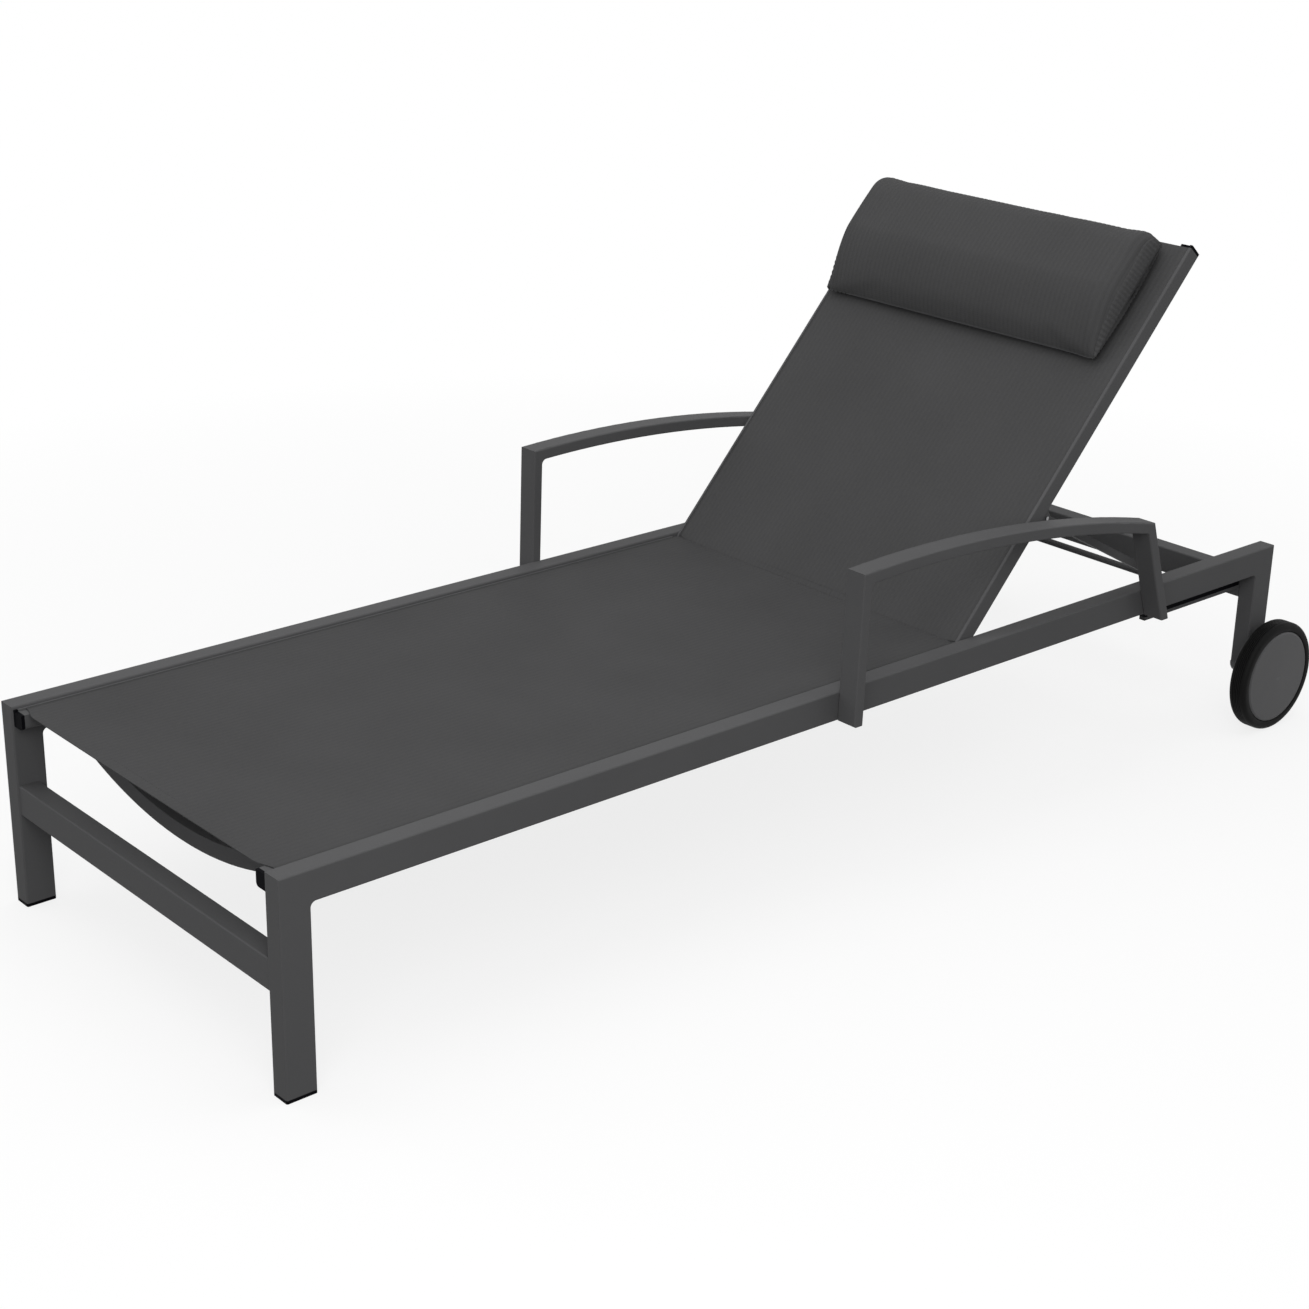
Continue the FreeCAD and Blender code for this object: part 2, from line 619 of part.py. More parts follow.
screws = []
for name, side in SIDES:
    for screw_y in SCREW_PLACES:
        screws.append(bolt("seat_screw_" + name, signed(side, "seat_rail_inner"), "foot_y + " + screw_y,
                           "hinge_z", side, "screw_head_radius", "screw_head_height", "screw_radius",
                           "sling_rail_width + seat_gap + tube_wall + bolt_reach"))
group("seat_screws", screws)

# each back rail starts in a half round about the hinge
for name, side in SIDES:
    rail = new_body("back_rail_" + name, signed(side, back_rail_x), "hinge_y", "hinge_z", "back_angle")
    pad(rail, "XZ", [sling_section(side)], "back_length + half_section", False, True, "half_section")
    soften(rail, side)
    corners = [("-half_section - cut_margin", "-half_section - cut_margin"),
               ("0", "-half_section - cut_margin"),
               ("0", "-half_section", "-half_section"), ("-half_section", "0", "-half_section"),
               ("0", "half_section"), ("0", "half_section + cut_margin"),
               ("-half_section - cut_margin", "half_section + cut_margin")]
    pocket(rail, "YZ", [corners], ACROSS_SLING_RAIL)
    pocket(rail, "XZ", [RAIL_CORE], "back_length", False, offset="-half_section")
    pocket(rail, "YZ", [("circle", "0", "0", "hinge_bolt_radius + hinge_clearance")], ACROSS_SLING_RAIL)
    keep(rail)

for name, side in SIDES:
    cap = new_body("back_cap_" + name, signed(side, back_rail_x),
                   "hinge_y + back_length * cos(back_angle)", "hinge_z + back_length * sin(back_angle)",
                   "back_angle")
    pad(cap, "XZ", [sling_section(side)], "back_cap", False, True)
    soften(cap, side)
    keep(cap)

# ------------------------------------ bowed spreaders: arcs between the sling rails
for label, half, start in (
        ("seat_bow_front", "seat_rail_inner", "front_bow_ahead"),
        ("seat_bow_middle", "seat_rail_inner", "middle_bow_ahead"),
        ("seat_bow_rear", "seat_rail_inner", "rear_bow_ahead"),
        ("back_bow_lower", "back_rail_inner", "lower_bow_start"),
        ("back_bow_upper", "back_rail_inner", "upper_bow_start")):
    if half == "seat_rail_inner":
        bow = new_body(label, "0", "foot_y + " + start, "hinge_z")
    else:
        bow = new_body(label, "0", "hinge_y + %s * cos(back_angle)" % start,
                       "hinge_z + %s * sin(back_angle)" % start, "back_angle")
    radius = "((%s * %s + bow_sag * bow_sag) / (2 * bow_sag))" % (half, half)
    upper = "(%s - bow_height)" % radius
    low = "(-half_section - bow_drop)"
    middle = "(%s + sqrt(%s * %s - %s * %s))" % (low, radius, radius, half, half)
    high = "(%s - sqrt(%s * %s - %s * %s))" % (middle, upper, upper, half, half)
    pad(bow, "XZ", [[("-" + half, low, radius), (half, low), (half, high, "-" + upper), ("-" + half, high)]],
        "bow_depth", False, True)
    inner_low, inner_high = "(%s - tube_wall)" % radius, "(%s + tube_wall)" % upper
    low = "(%s - sqrt(%s * %s - %s * %s))" % (middle, inner_low, inner_low, half, half)
    high = "(%s - sqrt(%s * %s - %s * %s))" % (middle, inner_high, inner_high, half, half)
    pocket(bow, "XZ", [[("-" + half, low, inner_low), (half, low), (half, high, "-" + inner_high),
                        ("-" + half, high)]], "bow_depth - 2 * tube_wall", False, offset="-tube_wall")
    keep(bow)

# ------------------------------------------------------------ slings and headrest
for label, half, low_y, length, tilt in (
        ("seat_sling", "seat_rail_outer", "foot_y + seat_sling_ahead", "seat_sling_end - seat_sling_ahead",
         None),
        ("back_sling", "back_rail_outer", "hinge_y", "back_length - back_sling_start", "back_angle")):
    sling = new_body(label, "0", low_y, "hinge_z", tilt)
    edge = "(%s - sling_lip_width - fit_gap)" % half
    start = "back_sling_start" if tilt else "0"
    pad(sling, "YZ", [box_loop(start, "sling_low", start + " + " + length, "sling_low + sling_thickness")],
        "2 * " + edge)
    keep(sling)

strips = []
for start in ("pillow_start + strip_inset", "pillow_start + pillow_length - strip_inset - strip_width"):
    strip = new_body("pillow_strip", "0", "hinge_y", "hinge_z", "back_angle")
    low = "sling_low + sling_thickness + fit_gap"
    pad(strip, "YZ", [box_loop(start, low, start + " + strip_width", low + " + strip_height")],
        "strip_length")
    strips.append(strip)
group("pillow_strips", strips)

pillow = new_body("pillow", "0", "hinge_y", "hinge_z", "back_angle")
low = "sling_low + sling_thickness + 2 * fit_gap + strip_height"
pad(pillow, "YZ", [box_loop("pillow_start", low, "pillow_start + pillow_length", low + " + pillow_height")],
    "pillow_width")
round_edges(pillow, "pillow_round", lambda edge: True)
keep(pillow)

# ------------------------------------------------- hinge bolts with their washers
for name, side in SIDES:
    keep(bolt("hinge_bolt_" + name, signed(side, "back_rail_inner - fit_gap"), "hinge_y", "hinge_z", side,
              "hinge_head_radius", "bolt_head_height", "hinge_bolt_radius",
              "sling_rail_width + back_side_gap + tube_wall + fit_gap + bolt_reach"))
washers = []
for name, side in SIDES:
    washer = new_body("hinge_washer_" + name, signed(side, "rail_inner - back_side_gap / 2"), "hinge_y",
                      "hinge_z")
    pad(washer, "YZ", [("circle", "0", "0", "hinge_washer_radius"),
                       ("circle", "0", "0", "hinge_bolt_radius + bore_clearance")],
        "back_side_gap - 2 * fit_gap")
    washers.append(washer)
group("hinge_washers", washers)

# ------------------------------------------------------------ prop stay and racks
for name, side in SIDES:
    lug = new_body("prop_lug_" + name, signed(side, "arm_outer + lug_width / 2 + fit_gap"), "hinge_y",
                   "hinge_z", "back_angle")
    pad(lug, "YZ", [[("pin_along - lug_length / 2", "-half_section"),
                     ("pin_along - lug_length / 4", "-pin_behind"),
                     ("pin_along + lug_length / 4", "-pin_behind"),
                     ("pin_along + lug_length / 2", "-half_section")]], "lug_width")
    pad(lug, "YZ", [("circle", "pin_along", "-pin_behind", "lug_length / 4")], "lug_width")
    pocket(lug, "YZ", [("circle", "pin_along", "-pin_behind", "pin_radius + bore_clearance")],
           "lug_width + 2 * cut_margin")
    keep(lug)

pins = []
for name, side in SIDES:
    pins.append(bolt("prop_pin_" + name, signed(side, "arm_outer - arm_width - fit_gap"), "pin_y", "pin_z",
                     side, "pin_head_radius", "screw_head_height", "pin_radius",
                     "arm_width + lug_width + 3 * fit_gap + tube_wall"))
group("prop_pins", pins)

for name, side in SIDES:
    arm = new_body("prop_arm_" + name, signed(side, "arm_middle"), "pin_y", "pin_z", "-prop_slope")
    pad(arm, "YZ", [box_loop("0", "-arm_depth / 2", "prop_length", "arm_depth / 2")], "arm_width")
    pad(arm, "YZ", [("circle", "0", "0", "arm_depth / 2")], "arm_width")
    pad(arm, "YZ", [("circle", "prop_length", "0", "arm_eye_radius")], "arm_width")
    pocket(arm, "YZ", [("circle", "0", "0", "pin_radius + hinge_clearance"),
                       ("circle", "prop_length", "0", "rod_radius + hinge_clearance")],
           "arm_width + 2 * cut_margin")
    keep(arm)

rod = new_body("prop_rod", "0", "pin_y", "pin_z", "-prop_slope")
pad(rod, "YZ", [("circle", "prop_length", "0", "rod_radius")], "2 * (rack_outer - rod_end_gap)")
keep(rod)

for name, side in SIDES:
    rack = new_body("rack_" + name, signed(side, "rack_middle"), "foot_y", "0")
    pad(rack, "YZ", [[
        ("rack_ahead + rack_chamfer", "rack_bottom"),
        ("rear_bar_y - foot_y - fit_gap", "rack_bottom"),
        ("rear_bar_y - foot_y - fit_gap", "notch_d_z - rod_radius - fit_gap"),
        ("notch_d_y - foot_y", "notch_d_z - rod_radius - fit_gap"),
        ("notch_c_y - foot_y", "notch_c_z - rod_radius - fit_gap"),
        ("notch_b_y - foot_y", "notch_b_z - rod_radius - fit_gap"),
        ("notch_a_y - foot_y", "notch_a_z - rod_radius - fit_gap"),
        ("notch_a_y - foot_y - rack_stop_lead", "rack_stop_height"),
        ("rack_ahead + rack_chamfer", "rack_stop_height"),
        ("rack_ahead", "rack_stop_height - rack_chamfer"),
        ("rack_ahead", "rack_bottom + rack_chamfer"),
    ]], "rack_width")
    pocket(rack, "YZ", [("circle",) + RACK_SCREW + ("screw_radius + bore_clearance",)],
           "rack_width + 2 * cut_margin")
    for letter, depth in (("a", "fit_gap"), ("b", "notch_depth"), ("c", "notch_depth"), ("d", "notch_depth")):
        pocket(rack, "YZ", [("circle", "notch_%s_y - foot_y" % letter, "notch_%s_z" % letter,
                             "rod_radius + " + depth)], "rack_width + 2 * cut_margin")
    keep(rack)

for name, side in SIDES:
    bar = new_body("rack_bar_" + name, signed(side, "rack_middle"), "foot_y", "0")
    pad(bar, "YZ", [box_loop("rack_ahead + rack_chamfer", "rack_bottom - rack_bar_height",
                             "rear_bar_y - foot_y", "rack_bottom")], "rack_width")
    keep(bar)

group("rack_screws", [
    bolt("rack_screw_" + name, signed(side, "rack_outer - rack_width"), "foot_y + " + RACK_SCREW[0],
         RACK_SCREW[1], side, "screw_head_radius", "flat_head_height", "screw_radius",
         "rack_width + fit_gap + tube_wall + bolt_reach") for name, side in SIDES])

# ------------------------------------------------- armrests: bow and two posts each
def between(start, end, share):
    """The point at a share of the way from one corner to another."""
    return tuple("(%s) * (1 - %s) + (%s) * %s" % (one, share, other, share) for one, other in zip(start, end))


def arm_point(end, kind):
    """A point of the armrest's corner at that end, as its two coordinates."""
    return (end + kind + "_y", end + kind + "_z")


FRONT_TOP = ("armrest_front_ahead", "armrest_front_top")
REAR_TOP = ("armrest_rear_ahead", "armrest_rear_top")
FRONT_INNER, REAR_INNER = arm_point("front", "_inner"), arm_point("rear", "_inner")
NEAR_TOP, NEAR_INNER = "(tube_wall / armrest_thickness)", "(1 - tube_wall / armrest_thickness)"
for name, side in SIDES:
    x = signed(side, "half_width + armrest_width / 2")
    bow = new_body("armrest_bow_" + name, x, "foot_y", "0")
    pad(bow, "YZ", [[
        REAR_TOP + ("armrest_radius",),
        FRONT_TOP,
        arm_point("front", "_fillet") + ("-armrest_fillet",),
        arm_point("front", "_on_bow") + ("-arch_inner",),
        arm_point("rear", "_on_bow") + ("-armrest_fillet",),
        arm_point("rear", "_fillet"),
    ]], "armrest_width")
    round_edges(bow, "edge_round", lambda edge: edge.Curve.TypeId == "Part::GeomCircle"
                and edge.Curve.Radius > value("armrest_radius / 2"))
    pocket(bow, "YZ", [[between(REAR_TOP, REAR_INNER, NEAR_TOP) + ("armrest_radius",),
                        between(FRONT_TOP, FRONT_INNER, NEAR_TOP),
                        between(FRONT_TOP, FRONT_INNER, NEAR_INNER) + ("-arch_inner",),
                        between(REAR_TOP, REAR_INNER, NEAR_INNER)]], "armrest_width - 2 * tube_wall")
    keep(bow)

    floor = "rail_bottom + tube_wall"
    for end, top, bend, bolt_y in (("front", FRONT_TOP, "-", ARM_BOLT_PLACES[0]),
                                   ("rear", REAR_TOP, "", ARM_BOLT_PLACES[1])):
        inner, wall = arm_point(end, "_inner"), "(%stube_wall)" % ("" if end == "front" else "-")
        post = new_body("armrest_%s_post_%s" % (end, name), x, "foot_y", "0")
        pad(post, "YZ", [[
            (end + "_foot_y", "rail_bottom"),
            (end + "_inside_y", "rail_bottom"),
            arm_point(end, "_on_post") + (bend + "armrest_fillet",),
            arm_point(end, "_fillet"),
            top,
        ]], "armrest_width")
        round_edges(post, "edge_round", lambda edge: along(X)(edge) and edge.CenterOfMass.z < value(floor)
                    or edge.Curve.TypeId == "Part::GeomLine" and abs(edge.tangentAt(0).z) > 0.9)
        pocket(post, "YZ", [[
            ("%s_foot_y + %s" % (end, wall), floor),
            ("%s_inside_y - %s" % (end, wall), floor),
            between(top, inner, NEAR_INNER),
            between(top, inner, NEAR_TOP),
        ]], "armrest_width - 2 * tube_wall")
        pocket(post, "YZ", [("circle", bolt_y, "armrest_bolt_height",
                             "armrest_bolt_radius + bore_clearance")], "armrest_width / 2 + cut_margin",
               False, side < 0)
        keep(post)

group("armrest_bolts", [
    bolt("armrest_bolt_" + name, signed(side, "rail_inner"), "foot_y + " + bolt_y, "armrest_bolt_height",
         side, "armrest_head_radius", "bolt_head_height", "armrest_bolt_radius",
         "rail_width + armrest_width / 2")
    for name, side in SIDES for bolt_y in ARM_BOLT_PLACES])

# ------------------------------------------------------- wheels on stub axles
for name, side in SIDES:
    keep(bolt("axle_" + name, signed(side, "rail_inner"), "axle_y", "wheel_radius", side,
              "axle_head_radius", "bolt_head_height", "axle_radius",
              "wheel_outer_face - axle_end_inset - rail_inner"))
clips = []
for name, side in SIDES:
    clip = new_body("axle_clip_" + name, signed(side, "wheel_outer_face - axle_end_inset - joint_overlap"),
                    "axle_y", "wheel_radius")
    pad(clip, "YZ", [("circle", "0", "0", "axle_clip_radius"),
                     ("circle", "0", "0", "axle_radius + axle_clearance")], "axle_clip_width")
    clips.append(clip)
group("axle_clips", clips)

HUB = (
    ("half_width + boss_play", "axle_radius + axle_clearance"),
    ("half_width + boss_play", "boss_radius"),
    ("wheel_inner_face + web_inset", "boss_radius"),
    ("wheel_inner_face + web_inset", "disc_radius - rim_seat - rim_wall"),
    ("wheel_inner_face + rim_inset", "disc_radius - rim_seat - rim_wall"),
    ("wheel_inner_face + rim_inset", "disc_radius - rim_seat"),
    ("wheel_outer_face - rim_inset", "disc_radius - rim_seat"),
    ("wheel_outer_face - rim_inset", "disc_radius - rim_seat - rim_wall"),
    ("wheel_inner_face + web_inset + web_thickness", "disc_radius - rim_seat - rim_wall"),
    ("wheel_inner_face + web_inset + web_thickness", "boss_radius"),
    ("wheel_outer_face - boss_inset", "boss_radius"),
    ("wheel_outer_face - boss_inset", "axle_radius + axle_clearance"),
)
TYRE = (
    ("wheel_inner_face", "disc_radius - rim_seat"),
    ("wheel_inner_face", "wheel_radius - tyre_round"),
    ("wheel_inner_face + tyre_round", "wheel_radius"),
    ("wheel_outer_face - tyre_round", "wheel_radius"),
    ("wheel_outer_face", "wheel_radius - tyre_round"),
    ("wheel_outer_face", "disc_radius + fit_gap"),
    ("wheel_outer_face - tyre_lip", "disc_radius + fit_gap"),
    ("wheel_outer_face - tyre_lip", "disc_radius - rim_seat"),
)
DISC = (
    ("wheel_outer_face - rim_inset", "0"),
    ("wheel_outer_face - rim_inset", "disc_radius"),
    ("wheel_outer_face - disc_edge", "disc_radius"),
    ("wheel_outer_face", "disc_radius - disc_bevel"),
    ("wheel_outer_face + disc_crown", "0"),
)
for name, side in SIDES:
    for label, outline in (("wheel_hub_", HUB), ("tyre_", TYRE), ("hub_cap_", DISC)):
        body = new_body(label + name, "0", "axle_y", "wheel_radius")
        revolve(body, [[(signed(side, outboard), radius) for outboard, radius in outline]])
        keep(body)

# ---------------------------------------------------------------- check and write
doc.recompute()
for label, piece in pieces.items():
    shape = piece.Shape
    if piece.State and any(flag in ("Invalid", "Error") for flag in piece.State):
        raise ValueError("%s is %s" % (label, piece.State))
    if shape.isNull() or not shape.isValid() or not shape.Solids:
        raise ValueError("%s has no valid solid" % label)
for label, piece in pieces.items():
    piece.Shape.exportStep("parts/%s.step" % label)
print(len(pieces), "pieces written")
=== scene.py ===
import json
import math

import bmesh
import bpy
import numpy as np
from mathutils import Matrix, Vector


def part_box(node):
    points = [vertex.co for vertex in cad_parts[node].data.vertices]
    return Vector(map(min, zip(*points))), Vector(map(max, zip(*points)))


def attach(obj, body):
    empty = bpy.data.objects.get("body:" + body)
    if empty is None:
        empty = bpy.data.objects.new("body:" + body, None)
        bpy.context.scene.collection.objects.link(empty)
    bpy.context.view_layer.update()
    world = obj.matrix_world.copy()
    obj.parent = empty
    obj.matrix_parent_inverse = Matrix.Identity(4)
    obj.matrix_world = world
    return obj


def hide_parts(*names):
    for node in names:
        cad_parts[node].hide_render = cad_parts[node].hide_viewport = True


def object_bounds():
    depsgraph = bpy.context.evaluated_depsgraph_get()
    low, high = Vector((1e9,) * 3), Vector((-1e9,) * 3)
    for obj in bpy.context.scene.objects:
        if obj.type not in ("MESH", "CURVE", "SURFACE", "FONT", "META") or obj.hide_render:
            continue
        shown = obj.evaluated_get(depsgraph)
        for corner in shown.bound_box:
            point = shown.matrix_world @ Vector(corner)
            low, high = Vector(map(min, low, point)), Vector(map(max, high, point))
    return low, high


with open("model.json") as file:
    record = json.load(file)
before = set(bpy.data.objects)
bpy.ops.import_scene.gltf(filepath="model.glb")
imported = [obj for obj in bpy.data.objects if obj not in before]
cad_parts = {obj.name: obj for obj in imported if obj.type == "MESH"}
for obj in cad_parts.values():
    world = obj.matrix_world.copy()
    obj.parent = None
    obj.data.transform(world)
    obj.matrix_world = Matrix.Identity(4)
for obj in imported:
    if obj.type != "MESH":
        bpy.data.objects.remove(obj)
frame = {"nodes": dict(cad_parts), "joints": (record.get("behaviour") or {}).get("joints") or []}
cad_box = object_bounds()

# ------------------------------------------------------------ welded side frames
# Rectangular aluminium tube, mitred and welded at the corners, with two crossbars
# between; the whole frame is blasted and powder coated in one satin dark grey.
COAT_GREY = (0.086, 0.086, 0.088)
COAT_PEBBLE = 0.0012      # width of one pebble of the baked powder, metres
COAT_RELIEF = 0.00006     # and its height
COAT_CLOUD = 0.11         # how wide the faint clouds of tone are
COAT_SHINE = 0.05         # the coat mirrors little
COAT_GLOSS = (0.50, 0.64)
FRAME_TUBES = ["side_rail_left", "side_rail_right", "front_leg_left", "front_leg_right",
               "rear_leg_left", "rear_leg_right", "front_crossbar", "rear_crossbar"]


def new_finish(name):
    """A material with a plain shader: the material, its node tree and the shader."""
    finish = bpy.data.materials.new(name)
    finish.use_nodes = True
    return finish, finish.node_tree, finish.node_tree.nodes["Principled BSDF"]


def join(tree, value, socket):
    """Feed a socket from another node's output, or set it to a plain value."""
    if isinstance(value, bpy.types.NodeSocket):
        tree.links.new(value, socket)
    else:
        socket.default_value = value


def add(tree, kind, settings=None, **sockets):
    """One shader node: settings are its own options, sockets its inputs by name."""
    node = tree.nodes.new("ShaderNode" + kind)
    for key, value in (settings or {}).items():
        setattr(node, key, value)
    for key, value in sockets.items():
        join(tree, value, node.inputs[key.replace("_", " ")])
    return node


def calc(tree, operation, *values):
    """The output of a Math node on the values."""
    node = add(tree, "Math", {"operation": operation})
    for socket, value in zip(node.inputs, values):
        join(tree, value, socket)
    return node.outputs[0]


def weighed(tree, *parts):
    """The sum of some values, each given with its weight."""
    total = 0.0
    for value, weight in parts:
        total = calc(tree, "ADD", calc(tree, "MULTIPLY", value, weight), total)
    return total


def between(tree, share, low, high):
    """A number that runs from low to high as share runs from 0 to 1."""
    node = add(tree, "MapRange", {"clamp": True}, Value=share, To_Min=low, To_Max=high)
    return node.outputs["Result"]


def shades(tree, share, colour, darker, lighter):
    """A colour that runs from its darker to its lighter shade as share goes from 0 to 1."""
    node = add(tree, "Mix", {"data_type": "RGBA"})
    join(tree, share, node.inputs[0])
    for socket, shade in ((6, darker), (7, lighter)):
        node.inputs[socket].default_value = tuple(shade * part for part in colour) + (1,)
    return node.outputs[2]


def cloudy(tree, place, width, detail=2.0):
    """Soft noise from 0 to 1 whose blobs are about as wide as the width, in metres."""
    return add(tree, "TexNoise", Vector=place, Scale=1 / width, Detail=detail).outputs["Fac"]


def raised(tree, shader, height, depth):
    """Bump the surface by a height that runs from 0 to 1, for a relief that deep."""
    bump = add(tree, "Bump", Height=height, Distance=depth, Strength=1.0)
    tree.links.new(bump.outputs["Normal"], shader.inputs["Normal"])


def powder_coat(name, colour):
    """Baked powder: fine pebbles, faint clouds of tone and of gloss."""
    finish, tree, shader = new_finish(name)
    shader.inputs["Specular IOR Level"].default_value = COAT_SHINE
    place = add(tree, "TexCoord").outputs["Object"]
    pebble = cloudy(tree, place, COAT_PEBBLE)
    cloud = cloudy(tree, place, COAT_CLOUD, 3.0)
    tone = weighed(tree, (pebble, 0.6), (cloud, 0.4))
    tree.links.new(shades(tree, tone, colour, 0.8, 1.2), shader.inputs["Base Color"])
    tree.links.new(between(tree, cloud, *COAT_GLOSS), shader.inputs["Roughness"])
    raised(tree, shader, pebble, COAT_RELIEF)
    return finish


def finish_nodes(names, finish):
    """Give the named CAD nodes their finish."""
    for name in names:
        for slot in frame["nodes"][name].material_slots:
            slot.material = finish


frame_coat = powder_coat("satin_powder_coat", COAT_GREY)
finish_nodes(FRAME_TUBES, frame_coat)

# ---------------------------------------------------------- foot caps and axle blocks
# Injection-moulded plugs pushed into the tube ends: soft black feet under the front
# legs, and harder grey blocks that carry the axles in the rear legs.
CAP_BLACK = (0.004, 0.004, 0.005)
BLOCK_GREY = (0.060, 0.060, 0.062)
SPARK_WIDTH = 0.0005      # grain of a spark-eroded mould
SPARK_RELIEF = 0.00004
FLOW_WIDTH = 0.03         # how wide the patches are that the flowing plastic leaves


def moulded_plastic(name, colour, gloss=(0.42, 0.60), shine=0.3):
    """Moulded plastic: a fine spark grain, cloudy gloss and a slight shift of tone."""
    finish, tree, shader = new_finish(name)
    shader.inputs["Specular IOR Level"].default_value = shine
    place = add(tree, "TexCoord").outputs["Object"]
    grain = cloudy(tree, place, SPARK_WIDTH, 1.0)
    flow = cloudy(tree, place, FLOW_WIDTH, 2.0)
    tree.links.new(shades(tree, flow, colour, 0.8, 1.25), shader.inputs["Base Color"])
    tree.links.new(between(tree, flow, *gloss), shader.inputs["Roughness"])
    raised(tree, shader, grain, SPARK_RELIEF)
    return finish


black_plastic = moulded_plastic("black_moulded_plastic", CAP_BLACK, shine=0.01)
grey_plastic = moulded_plastic("grey_moulded_plastic", BLOCK_GREY)
finish_nodes(["foot_cap_left", "foot_cap_right"], black_plastic)
finish_nodes(["axle_block_left", "axle_block_right"], grey_plastic)

# --------------------------------------------------------- sling rails and their ends
# Extruded aluminium rails with a channel that grips the edge of the fabric, coated as
# the frame is. Black moulded plugs close their open ends.
for side in ("left", "right"):
    finish_nodes(["seat_rail_" + side, "back_rail_" + side], frame_coat)
    finish_nodes(["seat_rail_plug_" + side, "back_cap_" + side], black_plastic)

# ------------------------------------------------------------------ bowed spreaders
# Tube rolled to a downward bow, so that it holds the two sling rails apart without
# touching the sitter; welded between the rails and coated with them.
finish_nodes(["seat_bow_front", "seat_bow_middle", "seat_bow_rear", "back_bow_lower",
              "back_bow_upper"], frame_coat)

# ----------------------------------------------------------------------- seat sling
# A taut panel of coated polyester yarn, woven with fine lengthwise ribs. Its sides
# slide into the rails' channels, and both of its ends are turned under and sewn down.
CLOTH_GREY = (0.060, 0.060, 0.061)
CLOTH_SHINE = 0.03
RIB_PITCH = 0.0092
YARN_PITCH = 0.0023
YARN_RELIEF = 0.0001
HEATHER_WIDTH = 0.004     # flecks in the yarn
WEAR_WIDTH = 0.16         # slow changes of tone over the panel
CLOTH_THICK = 0.0013
CLOTH_LOW = 0.0001        # how far the cloth's top lies below the plain sling's
HEM_THICK = 0.0020
HEM_WIDTH = 0.022
HEM_STEP = 0.0008         # run of the step from the hem down to the single cloth
HEM_DIP = 0.15            # share of the sag that is left at a hem
FLAT_EDGE = 0.022         # width beside a rail that doesn't sag
SEAT_SAG = 0.004
SEAT_CUT = 0.009          # how far the front corners are cut back, clear of the plugs
CUT_WIDTH = 0.036         # the width of one such cut
CUT_FADE = 12             # power with which the cut fades away along the panel
PANEL_ROWS, PANEL_STEPS = 105, 61       # across the panel, and along it between the hems
base_body, back_body = "base", "backrest"


def wave(tree, place, axis, pitch):
    """Even bands from 0 to 1 along one axis, each as wide as the pitch in metres.

    The texture's phase is 20 times its scale times the place, in radians.
    """
    node = add(tree, "TexWave", {"wave_type": "BANDS", "bands_direction": axis},
               Vector=place, Scale=2 * math.pi / (20 * pitch), Distortion=0.0)
    return node.outputs["Fac"]


def ribbed_cloth(name, colour, lean=0.0, across="X", pitch=RIB_PITCH, tint=0.10, depth=0.0002):
    """Ribbed weave: broad ribs of fine yarns, each with its own shade.

    The pattern is turned back by the lean of the panel, and its ribs follow one another
    along the axis across. tint is how much of the tone they make, depth their relief.
    """
    finish, tree, shader = new_finish(name)
    shader.inputs["Specular IOR Level"].default_value = CLOTH_SHINE
    place = add(tree, "TexCoord").outputs["Object"]
    flat = add(tree, "Mapping", {"vector_type": "POINT"}, Vector=place, Rotation=(-lean, 0, 0))
    flat = flat.outputs["Vector"]
    ribs = wave(tree, flat, across, pitch)
    warp, weft = wave(tree, flat, "X", YARN_PITCH), wave(tree, flat, "Y", YARN_PITCH)
    yarn = calc(tree, "MAXIMUM", warp, weft)
    heather = cloudy(tree, flat, HEATHER_WIDTH, 2.0)
    worn = cloudy(tree, flat, WEAR_WIDTH, 2.0)
    tone = weighed(tree, (ribs, tint), (yarn, 0.20), (heather, 0.30), (worn, 0.50 - tint))
    tree.links.new(shades(tree, tone, colour, 0.74, 1.26), shader.inputs["Base Color"])
    tree.links.new(between(tree, yarn, 0.80, 0.62), shader.inputs["Roughness"])
    raised(tree, shader, weighed(tree, (yarn, YARN_RELIEF), (ribs, depth)), 1.0)
    return finish


def skin(name, points, around=False, ends=False):
    """A mesh over a grid of points (rows, columns, 3).

    Around joins the last column to the first, and ends closes the first and the last
    row, each with one flat face. Closed shells get their faces turned outward.
    """
    rows, columns = points.shape[:2]
    number = np.arange(rows * columns).reshape(rows, columns)
    if around:
        number = np.hstack([number, number[:, :1]])
    corners = [number[:-1, :-1], number[:-1, 1:], number[1:, 1:], number[1:, :-1]]
    faces = np.stack(corners, axis=-1).reshape(-1, 4).tolist()
    if ends:
        faces += [number[0, :columns].tolist(), number[-1, :columns].tolist()]
    return piece_of(name, points.reshape(-1, 3), faces)


def piece_of(name, points, faces):
    """A linked object with smooth faces turned outward."""
    mesh = bpy.data.meshes.new(name)
    mesh.from_pydata(np.asarray(points, float).tolist(), [], faces)
    shell = bmesh.new()
    shell.from_mesh(mesh)
    bmesh.ops.remove_doubles(shell, verts=shell.verts, dist=1e-6)
    bmesh.ops.recalc_face_normals(shell, faces=shell.faces)
    shell.to_mesh(mesh)
    shell.free()
    mesh.shade_smooth()
    made = bpy.data.objects.new(name, mesh)
    bpy.context.scene.collection.objects.link(made)
    return made


def dress(piece, finish, body):
    """Give the piece its finish and its CAD body."""
    piece.data.materials.append(finish)
    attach(piece, body)


